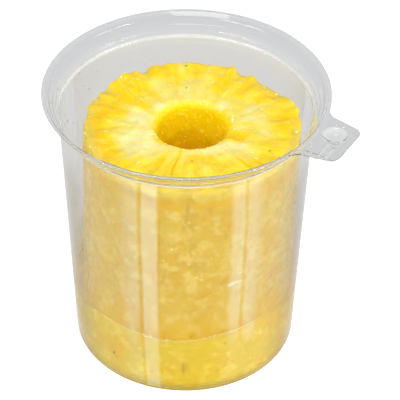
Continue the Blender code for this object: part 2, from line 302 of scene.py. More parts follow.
def add_panel(name, turn, width, brightness, fade_left, fade_right, foot):
    angle = math.radians(turn - 90)
    half = width / 2
    mesh = bpy.data.meshes.new(name)
    low, high = PANEL_LOW, PANEL_HIGH
    corners = [(-half, 0, low), (half, 0, low), (half, 0, high), (-half, 0, high)]
    mesh.from_pydata(corners, [], [(0, 1, 2, 3)])
    card = add_object(name, mesh)
    spot = Vector((math.cos(angle), math.sin(angle), 0)) * PANEL_DISTANCE
    card.matrix_world = Matrix.Translation(spot) @ Matrix.Rotation(angle - math.pi / 2, 4, "Z")
    for kind in ("camera", "diffuse", "transmission", "shadow"):
        setattr(card, f"visible_{kind}", False)
    glow, tree, output = new_material(name)
    place = object_place(tree)
    across, _, up = xyz(tree, place)
    across = plus(tree, across, swing(tree, place, PANEL_SAG_SIZE, PANEL_SAG))
    left = ramp(tree, across, -half, -half * (1 - fade_right))
    lit = times(tree, ramp(tree, across, half, half * (1 - fade_left)), left)
    strength = ramp(tree, up, *PANEL_GAIN_HEIGHTS, brightness, brightness * PANEL_TOP_GAIN)
    strength = times(tree, strength, ramp(tree, up, *PANEL_FOOT_HEIGHTS, foot, 1.0))
    colour = mixed(tree, ramp(tree, up, *PANEL_BLUE_HEIGHTS), PANEL_BLUE, WHITE)
    light = output_of(tree, "ShaderNodeEmission", {"Color": colour, "Strength": strength})
    # Where the cloth fades out, the room shows past it
    tree.links.new(blend(tree, lit, clear(tree, WHITE), light), output.inputs[0])
    mesh.materials.append(glow)


for number, panel in enumerate(PANELS):
    add_panel(f"softbox_{number}", *panel)
print("softboxes:", len(PANELS))

# %% Lights
# Name, place and size in metres, watts, and whether mirrors see it
LAMPS = (
    ("key", (-0.15, -0.62, 1.18), 0.75, 7.9, True),
    ("left_fill", (-0.85, -0.65, 0.35), 0.8, 3.0, False),
    ("right_fill", (0.85, -0.55, 0.35), 0.8, 6.7, False),
)

for name, place, size, watts, mirrored in LAMPS:
    light = bpy.data.lights.new(name, "AREA")
    light.shape = "SQUARE"
    light.size = size
    light.energy = watts
    lamp = add_object(name, light)
    facing = (Vector(place) - aim).to_track_quat("Z", "Y")
    lamp.matrix_world = Matrix.Translation(place) @ facing.to_matrix().to_4x4()
    lamp.visible_camera = False
    lamp.visible_glossy = mirrored
    lamp.visible_transmission = False

scene = bpy.context.scene
scene.view_settings.view_transform = "Standard"
BOUNCES = {"max": 20, "transmission": 20, "glossy": 20, "diffuse": 6, "transparent_max": 24}
for kind, count in BOUNCES.items():
    setattr(scene.cycles, f"{kind}_bounces", count)
scene.cycles.use_denoising = True
print("lamps:", [lamp[0] for lamp in LAMPS])

# %% [markdown]
# ## Meshes from rings
# The tub, the fruit and the juice are all nearly turned shapes: rings of points, one above the other,
# joined by quads. Building the rings in code, and not by a Screw modifier, lets each point move on its
# own, for the tab of the tub and for the torn relief of the fruit. The sign of the volume tells whether
# the faces point out, and turns them round if they don't.

# %% Ring meshes


def signed_volume(points, quads):
    a, b, c, d = (points[quads[:, k]] for k in range(4))
    first = np.einsum("ij,ij->i", a, np.cross(b, c)).sum()
    return (first + np.einsum("ij,ij->i", a, np.cross(c, d)).sum()) / 6


def add_numbers(mesh, title, values):
    """Gives every point of a mesh a number."""
    layer = mesh.attributes.new(title, "FLOAT", "POINT")
    layer.data.foreach_set("value", np.asarray(values, np.float32).reshape(-1))


def around_axis(angles, radius, z, centre=0.0):
    """Points round an upright axis that stands centre to the right of the tub's."""
    found = np.broadcast_arrays(centre + radius * np.cos(angles), radius * np.sin(angles), z)
    return np.stack(found, axis=-1)


def ring_mesh(name, rings, poles=None, attributes=None):
    """One closed mesh from an array (ring, point, xyz). Two poles close it, or it is a loop of rings."""
    count, around = rings.shape[:2]
    points = rings.reshape(-1, 3)
    lower = np.arange(count if poles is None else count - 1)
    upper = (lower + 1) % count
    here = np.arange(around)
    there = (here + 1) % around
    corners = [
        lower[:, None] * around + here, lower[:, None] * around + there,
        upper[:, None] * around + there, upper[:, None] * around + here,
    ]
    quads = np.stack(corners, axis=-1).reshape(-1, 4)
    flip = signed_volume(points, quads) < 0
    faces = (quads[:, ::-1] if flip else quads).tolist()
    if poles is not None:
        for pole, row, turn in ((0, 0, flip), (1, count - 1, not flip)):
            tip, start, step = len(points) + pole, row * around, 1 if turn else -1
            faces += [(tip, start + i, start + (i + 1) % around)[::step] for i in range(around)]
        points = np.concatenate([points, np.array(poles, float)])
    mesh = bpy.data.meshes.new(name)
    mesh.from_pydata(points.tolist(), [], faces)
    for title, values in (attributes or {}).items():
        add_numbers(mesh, title, values)
    mesh.shade_smooth()
    return add_object(name, mesh)


def faces_of(piece):
    mesh = piece.data
    mesh.calc_loop_triangles()
    return len(mesh.loop_triangles)


print("ring meshes ready")

# %% [markdown]
# ## The tub's section
# A heated sheet of clear plastic is drawn into a mould, so the wall is one even thin sheet with soft
# bends. Half of its section, from the base up to the lip, is a short list of corners. Each inner bend
# becomes a small curve, and the inner face is the outer one moved in by the wall's thickness.

# %% Lines, bends and an inset


def arc(centre, radius, first, last, steps):
    turns = (math.radians(first + (last - first) * i / steps) for i in range(steps + 1))
    return [(centre[0] + radius * math.cos(a), centre[1] + radius * math.sin(a)) for a in turns]


def line(first, last, steps):
    """Points after first, up to and including last."""
    shares = (i / steps for i in range(1, steps + 1))
    return [tuple(a + (b - a) * s for a, b in zip(first, last)) for s in shares]


def softened(corners, steps=4):
    """A polyline whose inner corners, each with its own length of bend, become small curves."""
    points = [corners[0][:2]]
    for before, here, after in zip(corners, corners[1:], corners[2:]):
        corner = Vector(here[:2])
        sides = [Vector(end[:2]) - corner for end in (before, after)]
        cut = min(here[2], 0.48 * sides[0].length, 0.48 * sides[1].length)
        start, end = (corner + side.normalized() * cut for side in sides)
        for k in range(steps + 1):
            t = k / steps
            points.append(tuple(start * (1 - t) ** 2 + corner * 2 * t * (1 - t) + end * t * t))
    return points


def inset(profile, distance):
    """The profile moved to its left by a constant distance, mitred at its corners."""
    moved = []
    for i, here in enumerate(profile):
        before = Vector(profile[max(i - 1, 0)])
        after = Vector(profile[min(i + 1, len(profile) - 1)])
        into = (Vector(here) - before).normalized() if i else None
        out = (after - Vector(here)).normalized() if i < len(profile) - 1 else None
        into = into or out
        out = out or into
        left = Vector((-(into.y + out.y), into.x + out.x)).normalized()
        moved.append(tuple(Vector(here) + left * distance / left.dot(Vector((-into.y, into.x)))))
    return moved


print("section helpers ready")

# %% Section of the tub
RIM_RADIUS = -tub_low.x
TUB_HEIGHT = tub_high.z
WALL = 0.6 * MM
BASE_RADIUS = 50.8 * MM
BASE_CORNER = 4.2 * MM
LIP_WIDTH = 1.2 * MM
WALL_RINGS = 5
# Radius, height and length of bend in mm, from the top of the wall up the flange. The two short
# steeper stretches are the moulded steps that catch a line of light.
FLANGE = (
    (56.7, 125.2, 1.3), (57.5, 126.3, 0.6), (58.0, 127.27, 0.3), (58.13, 127.95, 0.3), (59.28, 129.85, 0.08),
    (59.46, 129.98, 0.08), (61.1, 132.35, 0.3), (61.3, 133.05, 0.3), (62.8, 134.7, 0.5),
)

base_arc = arc((BASE_RADIUS - BASE_CORNER, BASE_CORNER), BASE_CORNER, -90, -3, 8)
flange = [(radius * MM, z * MM, bend * MM) for radius, z, bend in FLANGE]
lip_start = (RIM_RADIUS - LIP_WIDTH + flange[-1][2], TUB_HEIGHT - WALL)
wall_line = [base_arc[-1]] + line(base_arc[-1], flange[0][:2], WALL_RINGS)[:-1]
upper = softened([wall_line[-1]] + flange + [lip_start])
outside = [(BASE_RADIUS - 2 * BASE_CORNER, 0.0)] + base_arc[:-1] + wall_line + upper[1:]
inside = inset(outside, WALL)
print("stations of the section:", len(outside), "wall in mm:", WALL / MM)

# %% [markdown]
# ## The lip and its tab
# The flat lip grows into a tab at one place. Seen from above, the edge of the lip is a function of the
# angle: a circle, with the tab's outline where the tab is. The tab's outline is symmetrical about its
# own axis, so it is given once, by its half widths. A round cup, two ribs and a folded border are
# pressed into the tab, as heights above or below its plain sheet.

# %% The tab's outline
TAB_ANGLE = math.radians(-30.0)
TAB_REACH = 80.6 * MM
TAB_CORNERS = ((62.3, 17.6), (63.9, 16.1), (65.6, 15.2), (76.4, 13.3))
TAB_END_HALF = 8.4 * MM


def tab_outline():
    half_line = [(x * MM, y * MM) for x, y in TAB_CORNERS]
    shoulder = half_line[-1]
    for step in range(1, 9):
        turn = math.radians(90 * step / 8)
        x = shoulder[0] + (TAB_REACH - shoulder[0]) * math.sin(turn)
        half_line.append((x, TAB_END_HALF + (shoulder[1] - TAB_END_HALF) * math.cos(turn)))
    return half_line


def edge_radius(turn):
    """How far the lip reaches from the tub's axis, at an angle from the tab's own axis."""
    outline = np.array(tab_outline()[::-1])
    angles = np.arctan2(outline[:, 1], outline[:, 0])
    radii = np.hypot(outline[:, 0], outline[:, 1])
    turn = np.abs(turn)
    found = np.interp(turn, angles, radii, right=RIM_RADIUS)
    flat_end = TAB_REACH / np.cos(np.minimum(turn, angles[0]))
    found = np.where(turn < angles[0], flat_end, found)
    blend = np.clip((turn - angles[-1]) / math.radians(1.5), 0, 1)
    found = np.where(turn > angles[-1], radii[-1] + (RIM_RADIUS - radii[-1]) * blend, found)
    return np.maximum(found, RIM_RADIUS)


print("tab reach in mm:", TAB_REACH / MM, "corners of half its outline:", len(tab_outline()))

# %% The tab's pressed relief
PRESS_SOFTNESS = 0.5 * MM
CUP = (71.0 * MM, -5.1 * MM)
CUP_RADIUS = 5.3 * MM
CUP_FLOOR_RADIUS = 2.9 * MM
CUP_DEPTH = 3.0 * MM
CUP_WALL = 0.4 * MM
RIB_HALF = 0.55 * MM
RIB_HEIGHT = 0.4 * MM
RIBS = (((71.9, 1.4), (71.9, 10.2)), ((75.4, 4.4), (75.0, 10.6)))
BORDER_ACROSS = 11.6 * MM
BORDER_HEIGHT = 0.3 * MM
PANEL_START = 65.0 * MM
PANEL_END = 77.6 * MM


def smooth(share):
    share = np.clip(share, 0, 1)
    return share * share * (3 - 2 * share)


def cup_drop(distance, wall):
    """How far the sheet is pushed down at a distance from the cup's centre."""
    slope = (CUP_RADIUS + wall - distance) / (CUP_RADIUS - CUP_FLOOR_RADIUS)
    return CUP_DEPTH * smooth(slope * 0.92 + 0.04)


def rib_height(along, across):
    height = np.zeros_like(along)
    for first, last in RIBS:
        start, end = (np.array(p) * MM for p in (first, last))
        run = end - start
        share = np.clip(((along - start[0]) * run[0] + (across - start[1]) * run[1]) / (run @ run), 0, 1)
        away = np.hypot(along - start[0] - share * run[0], across - start[1] - share * run[1])
        height = np.maximum(height, RIB_HEIGHT * smooth(1.5 - away / RIB_HALF))
    return height


def tab_relief(along, across, wall):
    """Height of the pressed sheet above its plain plane."""
    inside_panel = 1.0
    for depth in (BORDER_ACROSS - np.abs(across), along - PANEL_START, PANEL_END - along):
        inside_panel = inside_panel * smooth(depth / PRESS_SOFTNESS + 0.5)
    distance = np.hypot(along - CUP[0], across - CUP[1])
    return rib_height(along, across) - BORDER_HEIGHT * inside_panel - cup_drop(distance, wall)


print("cup's depth in mm:", CUP_DEPTH / MM, "ribs:", len(RIBS))

# %% Rings of the tub
TAB_SPREAD = math.radians(17.5)
FINE_STEP = math.radians(0.26)
COARSE_STEP = math.radians(1.0)
STEP_GROWTH = 1.12
TAB_TOP_DROP = 0.05 * MM
TAB_THINNER = 0.05 * MM
TAB_BLEND = 1.5 * MM


def tub_turns():
    """Angles from the tab's axis, close together where the tab is and slowly wider beyond it."""
    half_turn, step = [0.0], FINE_STEP
    while half_turn[-1] < math.pi:
        if half_turn[-1] > TAB_SPREAD:
            step = min(step * STEP_GROWTH, COARSE_STEP)
        half_turn.append(half_turn[-1] + step)
    half_turn = np.array(half_turn) * math.pi / half_turn[-1]
    return np.concatenate([-half_turn[-2:0:-1], half_turn])


def lip_ring(turns, share, top):
    """A ring of the lip, from share 0 at its foot to 1 at its edge, on its top or its underside."""
    edge = edge_radius(turns) - WALL / 2
    foot = inside[-1][0] if top else outside[-1][0]
    radius = foot + (edge - foot) * share
    on_tab = smooth((radius - RIM_RADIUS) / TAB_BLEND)
    along, across = radius * np.cos(turns), radius * np.sin(turns)
    level = TUB_HEIGHT - TAB_TOP_DROP * on_tab
    if not top:
        level = TUB_HEIGHT - WALL + TAB_THINNER * on_tab
    level = level + tab_relief(along, across, 0.0 if top else CUP_WALL) * on_tab
    return np.stack([along, -across, level], axis=-1)


def lip_edge(turns, angle):
    """The rounded outer edge of the sheet, angle from -90 under it to 90 on top."""
    edge = edge_radius(turns)
    on_tab = smooth((edge - RIM_RADIUS) / TAB_BLEND)
    radius = edge - WALL / 2 + WALL / 2 * math.cos(angle)
    middle = TUB_HEIGHT - WALL / 2
    level = middle + WALL / 2 * math.sin(angle) * (1 - 0.1 * on_tab)
    return around_axis(-turns, radius, level)


print("angles round the tub:", len(tub_turns()))

# %% The tub as one closed shell
LIP_STEPS = 40
EDGE_STEPS = 4
# A rubbed white line at the step of the stack and on the lip, which also stands for the lines of light
# there: painted highlights
SCUFF_HIGHLIGHT_LEVEL = 125.35 * MM
SCUFF_HIGHLIGHT_HALF = 0.75 * MM
SCUFF_HIGHLIGHT_RADIUS = 56.8 * MM
LIP_SCUFF_HIGHLIGHT = 0.10
# Plastic turns white where it is pressed into a sharp form, and here the white also stands for the lights on
# the tab's cup and ribs: painted highlights
PRESSED_WHITE_HIGHLIGHT = 0.13
CUP_WHITE_HIGHLIGHT = 0.035
RIB_WHITE_HIGHLIGHT = 0.07


def scuffs_and_highlights_at(rings):
    """How white each point is, as rubbing and as painted highlights: a line at the step of the stack, the
    lip, and the tab's forms.
    """
    x, y, z = np.moveaxis(rings, -1, 0)
    turns = np.arctan2(y, x)
    line_at = np.clip(1 - np.abs(z - SCUFF_HIGHLIGHT_LEVEL) / SCUFF_HIGHLIGHT_HALF, 0, 1)
    outer_face = np.hypot(x, y) > np.interp(z, [0.1, SCUFF_HIGHLIGHT_LEVEL], [0, 1]) * (SCUFF_HIGHLIGHT_RADIUS - 0.3 * MM)
    patchy = 0.7 + 0.3 * np.sin(3 * turns + 1.0) * np.sin(7 * turns)
    step_highlight = smooth(1.6 * line_at) * patchy * outer_face
    on_lip = (z > TUB_HEIGHT - 0.8 * WALL) & (np.hypot(x, y) < RIM_RADIUS + 0.2 * MM)
    from_cup = np.hypot(x - CUP[0], -y - CUP[1])
    pressed = PRESSED_WHITE_HIGHLIGHT * smooth(1.4 - np.abs(from_cup - CUP_RADIUS + 0.5 * MM) / (0.8 * MM))
    pressed = np.maximum(pressed, CUP_WHITE_HIGHLIGHT * (from_cup < CUP_RADIUS))
    pressed = np.maximum(pressed, RIB_WHITE_HIGHLIGHT * rib_height(x, -y) / RIB_HEIGHT)
    on_tab = (z > TUB_HEIGHT - 2 * CUP_DEPTH) & (np.hypot(x, y) > RIM_RADIUS + TAB_BLEND)
    return np.maximum(np.maximum(step_highlight, LIP_SCUFF_HIGHLIGHT * on_lip), pressed * on_tab)


def make_tub():
    turns = tub_turns()
    shares = [k / LIP_STEPS for k in range(1, LIP_STEPS + 1)]
    rings = [around_axis(-turns, *station) for station in outside]
    rings += [lip_ring(turns, share, top=False) for share in shares]
    for k in range(1, EDGE_STEPS):
        rings.append(lip_edge(turns, math.radians(-90 + 180 * k / EDGE_STEPS)))
    rings += [lip_ring(turns, share, top=True) for share in shares[::-1]]
    rings += [around_axis(-turns, *station) for station in inside[::-1]]
    rings = np.array(rings)
    scuffs_and_highlights = np.append(scuffs_and_highlights_at(rings).reshape(-1), (0, 0))
    turn = Matrix.Rotation(TAB_ANGLE, 2)
    rings[..., :2] = rings[..., :2] @ np.array(turn).T
    return ring_mesh("tub_shell", rings, poles=((0, 0, 0), (0, 0, WALL)), attributes={"scuff_and_highlight": scuffs_and_highlights})


tub_shell = make_tub()
print("tub triangles:", faces_of(tub_shell))

# %% [markdown]
# ## Clear plastic
# The sheet is glass-like: it bends light at its curves and mirrors the softboxes. For the camera it is
# painted an olive shade at a grazing angle, partly for the light crossing more of it and partly as painted
# edge shade, and its outer face is painted darker where the wall turns away. A Transparent shader for shadow
# rays lets the light reach the fruit, as it does through a real thin wall. Layer Weight darkens the grazing
# parts as painted shade, and a faint wave stands for the drawn sheet's unevenness. Where it is rubbed or
# sharply pressed it
# turns white, and the same white stands for lines of light at the step, on the lip and on the tab's forms:
# painted highlights, with a painted glow on the rim and the tab.

# %% Clear plastic
PLASTIC_FACE = (0.98, 0.982, 0.98)
PLASTIC_RIM = (0.90, 0.905, 0.91)
# The olive of the painted grazing shade
PLASTIC_GRAZING_SHADE = (0.57, 0.51, 0.40)
PLASTIC_SHADOW = (0.93, 0.93, 0.92)
RIM_GRAZING_SHADE = 0.55
SCUFF_AND_HIGHLIGHT_WHITE = (0.86, 0.86, 0.84)
PAINTED_GLOW = 0.1
PLASTIC_IOR = 1.5
WAVE_SIZE = 26.0
WAVE_DEPTH = 0.02 * MM
# How far the painted edge shade of the outer face goes towards olive, and over which facing it sets in
EDGE_SHADE = 0.95
EDGE_SHADE_FACING = (0.48, 0.76)
# Heights over which the flange's lighter grazing shade, the grey of the rim and the painted glow of the tab
# set in
FLANGE_LEVELS = (126 * MM, 129 * MM)
RIM_LEVELS = (126 * MM, 134.5 * MM)
GLOW_LEVELS = (129 * MM, 131 * MM)

clear_plastic, tree, output = new_material("clear_plastic")
place = object_place(tree)
wave = noise_of(tree, place, WAVE_SIZE, 1.0)
bump = output_of(tree, "ShaderNodeBump", {"Strength": 0.6, "Distance": WAVE_DEPTH, "Height": wave})
facing = edge_on(tree)
level = xyz(tree, place)[2]
# The outer face is painted darker, towards olive, where the wall turns away from the camera: painted edge
# shade
painted_edge_shade = times(tree, ramp(tree, facing, *EDGE_SHADE_FACING, 0.0, EDGE_SHADE), attribute(tree, "outer"))
# Painted shade: for camera rays the sheet turns olive at a grazing angle, partly for the longer path through
# it, and less so on the flange
grazing = maths(tree, "MAXIMUM", maths(tree, "POWER", facing, 5.0), painted_edge_shade)
grazing = times(tree, grazing, ramp(tree, level, *FLANGE_LEVELS, 1.0, RIM_GRAZING_SHADE))
grazing = times(tree, grazing, is_ray(tree, "Camera"))
# The wall is stretched thin in the mould, and the rim stays thicker and greyer
face = mixed(tree, ramp(tree, level, *RIM_LEVELS), PLASTIC_FACE, PLASTIC_RIM)
sheet = {"Base Color": mixed(tree, grazing, face, PLASTIC_GRAZING_SHADE), "Roughness": 0.03, "Normal": bump}
sheet = principled(tree, {**sheet, "IOR": PLASTIC_IOR, "Transmission Weight": 1.0})
sheet = blend(tree, attribute(tree, "unbent"), sheet, clear(tree, WHITE))
# Rubbed and stretched white plastic, which is also where the painted highlights go
rubbed = {"Base Color": (*SCUFF_AND_HIGHLIGHT_WHITE, 1), "Roughness": 0.5, "Transmission Weight": 0.15, "IOR": PLASTIC_IOR}
# A painted glow: on the rim and the tab the white parts give off a little light, though they are no lamp
glow = ramp(tree, level, *GLOW_LEVELS, 0.0, PAINTED_GLOW)
rubbed = principled(tree, {**rubbed, "Emission Color": (*WHITE, 1), "Emission Strength": glow})
body = blend(tree, attribute(tree, "scuff_and_highlight"), sheet, rubbed)
both = blend(tree, is_ray(tree, "Shadow"), body, clear(tree, PLASTIC_SHADOW))
tree.links.new(both, output.inputs[0])
tub_shell.data.materials.append(clear_plastic)
print("wall thickness in mm:", WALL / MM)

# %% [markdown]
# ## The cylinder of flesh
# The peeler leaves a smooth drum, but its top is torn: fibres run out from the core like spokes, the
# fruitlets round the edge stand up as lumps with seams between them, and the edge itself is chipped.
# The forms are the solid's own, at a finer step: the same cylinder, seams, chips and creases.

# %% Sizes of the fruit
FRUIT_TOP = 116.5 * MM
FRUIT_FOOT = 2.0 * MM
TOP_RADIUS = 48.7 * MM
FOOT_RADIUS = 48.1 * MM
BORE_RADIUS = 15.8 * MM
MOUTH_ROUND = 4.0 * MM
RIM_ROUND = 1.5 * MM
FOOT_ROUND = 5.0 * MM
FOOT_X = 0.5 * MM
TOP_X = 2.6 * MM
FRUIT_TURNS = 432
FINER_IN_FRONT = 0.42
# How far down from the top the bore's stations are close together
BORE_FINER = 40 * MM
print("height of the fruit in mm:", (FRUIT_TOP - FRUIT_FOOT) / MM)

# %% Marks of the top and of the side
# Where the seams of the top run out from the core, in degrees
SEAMS = (8, 31, 49, 64, 88, 107, 127, 146, 161, 184, 209, 228, 251, 274, 291, 316, 338)
# Bites out of the top edge, and cells that stand up there: centre and half width in degrees, and mm
EDGE_CHIP_SPAN = 11.0 * MM
EDGE_CHIPS = (
    (25, 4, 0.5), (36, 5, 1.6), (45, 4.5, 2.0), (60, 3.4, 3.0), (70, 4, 1.8), (79, 5, 1.6), (90, 4, 0.4),
    (106, 4, 0.5), (118, 2.5, 1.6), (135, 3, 0.6), (155, 2.2, 1.6), (160, 2, 0.6), (169.5, 3.5, 1.9),
    (190, 5, 0.3), (212, 6, 1.0), (236, 7, 1.0), (262, 6, 0.8), (287, 8, 1.2), (312, 6, 0.9), (332, 5, 0.7),
)
EDGE_RISE_SPAN = 14.0 * MM
EDGE_RISES = ((95, 50, 1.3), (66.5, 1.6, 1.2), (97, 3, 0.5), (127, 4, 0.6), (14, 8, 1.4))
# Creases and gouges down the side: degrees, height, half width, half height, depth, in mm
SIDE_MARKS = (
    (268, 100, 2.2, 13, 1.5), (272, 69, 3.6, 6, 1.5), (246, 17, 2.6, 4, 1.5), (268, 14, 2.2, 3, 1.7),
    (225, 62, 2.4, 16, 0.9), (300, 88, 2.4, 17, 1.0), (322, 42, 2.8, 12, 1.0), (195, 84, 2.4, 15, 1.0),
    (160, 60, 3.0, 13, 1.1), (118, 86, 2.8, 15, 1.0), (84, 52, 2.8, 14, 1.1), (47, 80, 2.6, 16, 1.0),
    (12, 58, 2.6, 14, 1.1), (350, 96, 2.2, 10, 0.9), (140, 30, 3.0, 9, 1.0), (62, 24, 3.0, 8, 1.0),
    (5, 22, 2.8, 8, 1.0), (268.3, 106, 0.6, 3, 0.6), (267.1, 100, 0.7, 3, 0.6), (265.8, 96, 0.6, 1.5, 0.4),
    (290, 95, 0.6, 2.2, 0.5), (288.4, 91, 0.5, 2, 0.45), (253.6, 84, 0.4, 14, 0.3),
    (279.5, 105, 0.9, 1.2, 0.6), (276.5, 101.5, 0.7, 2.0, 0.6), (292, 83, 0.9, 1.0, 0.6),
    (271.3, 84.5, 1.6, 1.6, 0.8), (270, 81.4, 0.7, 1.4, 0.7), (265, 87, 1.3, 0.9, 0.65),
    (262.3, 85.6, 0.8, 0.6, 0.7), (258, 31, 0.6, 2.4, 0.6), (272, 33, 0.6, 2, 0.5),
    (268.8, 14, 0.7, 2.2, 1.0),
)
# Fine cracks on the top face: degrees, nearest and farthest radius, half width and depth, in mm
CRACKS = (
    (337, 14, 27, 4.0, 1.1), (256, 20, 44, 0.5, 0.42), (309, 32, 43, 0.6, 0.6), (317, 37, 44, 0.6, 0.5),
    (183, 24, 40, 0.6, 0.4),
)
# Where the top is a deeper yellow, or paler if negative; along the cracks the deeper yellow is painted
# shade: degrees, radius, half widths in degrees and mm
TOP_TONES = (
    (186, 45, 13, 5, 0.8), (207, 43, 8, 5, 0.9), (166, 40, 7, 7, 0.8), (142, 38, 11, 2.5, 0.6),
    (256, 30, 1.2, 12, 0.9), (337, 20, 8, 4, 1.2), (0, 43, 6, 5, 0.7), (68, 34, 6, 6, 0.5),
    (50, 42, 13, 4, 0.4), (32, 38, 3, 3, 0.8), (222, 18.5, 13, 1.6, 1.0), (278, 27, 9, 4, 0.5),
    (300, 40, 13, 4, 0.3), (309, 37, 0.9, 4, 1.0), (318, 38, 1.2, 4, 0.7), (112, 45, 8, 5, 0.3),
    (243, 33, 3, 6, 0.5), (148, 29, 4, 4, 0.4), (215, 27, 15, 9, -0.8), (190, 28, 15, 8, -0.6),
    (10, 27, 5, 6, -0.9), (25, 32, 5, 6, -0.5), (352, 36, 6, 5, -0.5), (315, 27, 14, 8, -0.5),
    (290, 20, 20, 2.5, -0.5), (138, 20, 8, 2, -0.9), (165, 26, 9, 5, -0.6), (47, 19, 6, 3, -0.7),
    (100, 26, 14, 6, -0.3), (285, 38, 6, 4, -0.4), (262, 42, 5, 3, -0.3), (97, 42, 2, 4, -0.5),
    (88, 38, 14, 6, -0.5), (118, 34, 8, 5, -0.3),
)
# Ochre stains on the side, and painted shade in its creases and under its torn flaps: degrees, height, half
# widths in degrees and mm, strength
SIDE_STAINS_AND_SHADE = (
    (268.6, 106, 0.5, 2.5, 1.0), (267.3, 100, 0.5, 2.5, 1.0), (266.2, 95.5, 0.4, 1.2, 0.8),
    (290, 95, 0.5, 2, 0.9), (288.6, 91, 0.4, 2, 0.8), (253.6, 84, 0.45, 16, 0.9),
    (279.5, 105, 0.8, 1.2, 0.8), (276.5, 101, 0.6, 1.6, 0.7), (292.3, 82.5, 0.7, 0.8, 0.9),
    (272.3, 84.5, 0.6, 1.4, 1.0), (270.6, 81, 0.6, 0.9, 1.0), (265.2, 86.6, 1.0, 0.5, 0.9),
    (258, 31, 0.6, 2.5, 0.6), (272, 33, 0.6, 2, 0.5), (258, 110, 2.5, 1.8, 0.7), (280, 108, 2.5, 2.5, 0.5),
    (268.8, 14, 0.9, 2.4, 1.2), (228.5, 14.5, 3, 3, 0.7), (229, 23.5, 2.6, 1.2, 0.8),
    (252, 11, 1.0, 0.9, 0.9), (304, 21, 0.5, 1.3, 0.9), (340, 10, 2.2, 2.5, 0.5), (246, 61, 0.5, 2.5, 0.4),
    (243.5, 43, 0.8, 1, 0.5), (213, 71, 5, 4, 0.35), (221, 57, 4, 3, 0.25), (206, 91, 6, 4, 0.25),
    (239, 98, 3, 4, 0.25),
)
print("chips, creases, tones, stains:", *map(len, (EDGE_CHIPS, SIDE_MARKS, TOP_TONES, SIDE_STAINS_AND_SHADE)))

# %% Profile of the fruit


def lean(z):
    """How far the fruit's axis stands off the tub's at a height."""
    return FOOT_X + (TOP_X - FOOT_X) * (z - FRUIT_FOOT) / (FRUIT_TOP - FRUIT_FOOT)


def side_radius(z):
    return FOOT_RADIUS + (TOP_RADIUS - FOOT_RADIUS) * (z - FRUIT_FOOT) / (FRUIT_TOP - FRUIT_FOOT)


def fruit_profile():
    """A closed loop of (radius, z) that starts at the bore's foot, with most stations on the top face."""
    points = [(BORE_RADIUS, FRUIT_FOOT)]
    points += line(points[-1], (BORE_RADIUS, FRUIT_TOP - BORE_FINER), 14)
    points += line(points[-1], (BORE_RADIUS, FRUIT_TOP - MOUTH_ROUND), 24)
    points += arc((BORE_RADIUS + MOUTH_ROUND, FRUIT_TOP - MOUTH_ROUND), MOUTH_ROUND, 180, 90, 8)[1:]
    points += line(points[-1], (TOP_RADIUS - RIM_ROUND, FRUIT_TOP), 44)
    points += arc((TOP_RADIUS - RIM_ROUND, FRUIT_TOP - RIM_ROUND), RIM_ROUND, 90, 0, 6)[1:]
    points += line(points[-1], (FOOT_RADIUS, FRUIT_FOOT + FOOT_ROUND), 120)
    points += arc((FOOT_RADIUS - FOOT_ROUND, FRUIT_FOOT + FOOT_ROUND), FOOT_ROUND, 0, -90, 6)[1:]
    points += line(points[-1], (BORE_RADIUS, FRUIT_FOOT), 8)[:-1]
    return points


print("fruit stations:", len(fruit_profile()))

# %% Soft marks


def bump_at(distance, half_width):
    """1 at the middle of a mark, falling smoothly to 0 at twice its half width."""
    share = np.minimum(np.abs(distance) / (2 * half_width), 1)
    return (1 - share * share) ** 2


def turn_between(angles, degrees):
    return (np.degrees(angles) - degrees + 180) % 360 - 180


def patches(angles, along, table):
    """The sum of soft patches, each given by degrees, a place along in mm, half widths and a strength."""
    total = np.zeros_like(angles)
    for degrees, middle, half_turn, half_along, strength in table:
        soft = bump_at(turn_between(angles, degrees), half_turn)
        total += strength * soft * bump_at(along / MM - middle, half_along)
    return total


print("soft marks ready")

# %% Lumps, seams and cracks
LUMP_SIZE = 10.0 * MM
LUMP_HEIGHT = 1.7 * MM
CHIP_SIZE = 4.4 * MM
CHIP_HEIGHT = 0.45 * MM
CHIP_OFFSET = Vector((7, 3, 5))
GRAIN_SIZE = 1.7 * MM
GRAIN_HEIGHT = 0.12 * MM
SEAM_HALF_WIDTH = 1.5 * MM
CRACK_WANDER = 1.2
CRACK_WAVE = 0.35


def lumps_at(angles, radius, z):
    """Fruitlets, chips and grain as noise of three sizes, which needs one call for each point."""
    found = []
    for angle in angles:
        place = Vector((radius * math.cos(angle), radius * math.sin(angle), z))
        height = noise.fractal(place / LUMP_SIZE, 1.0, 2.0, 2) * LUMP_HEIGHT
        height += noise.noise(place / CHIP_SIZE + CHIP_OFFSET) * CHIP_HEIGHT
        found.append(height + noise.noise(place / GRAIN_SIZE) * GRAIN_HEIGHT)
    return np.array(found)


def seam_depth(angles, radius):
    """How deep in a seam or a crack of the top face each point lies, from 0 to 1."""
    across = [np.radians(turn_between(angles, seam)) * radius for seam in SEAMS]
    return np.max([bump_at(distance, SEAM_HALF_WIDTH) for distance in across], axis=0)


def crack_depth(angles, radius):
    total = np.zeros_like(angles)
    for degrees, near, far, half_width, depth in CRACKS:
        wander = CRACK_WANDER * math.sin(radius / MM * CRACK_WAVE)
        across = np.radians(turn_between(angles, degrees + wander)) * radius
        middle, reach = (near + far) / 2 * MM, (far - near) / 2 * MM
        total += bump_at(across, half_width * MM / 2) * bump_at(radius - middle, reach / 1.6) * depth * MM
    return total


print("seams:", len(SEAMS), "cracks:", len(CRACKS))

# %% Relief of the fruit
RELIEF_REACH = 0.4 * MM
TOP_REACH = 0.9 * MM
RELIEF_BIAS = 0.25 * MM
BORE_RELIEF = 0.4
SIDE_RELIEF = 0.18
SEAM_DEPTH = 0.45 * MM
FOOT_FADE = 1.6 * FOOT_ROUND
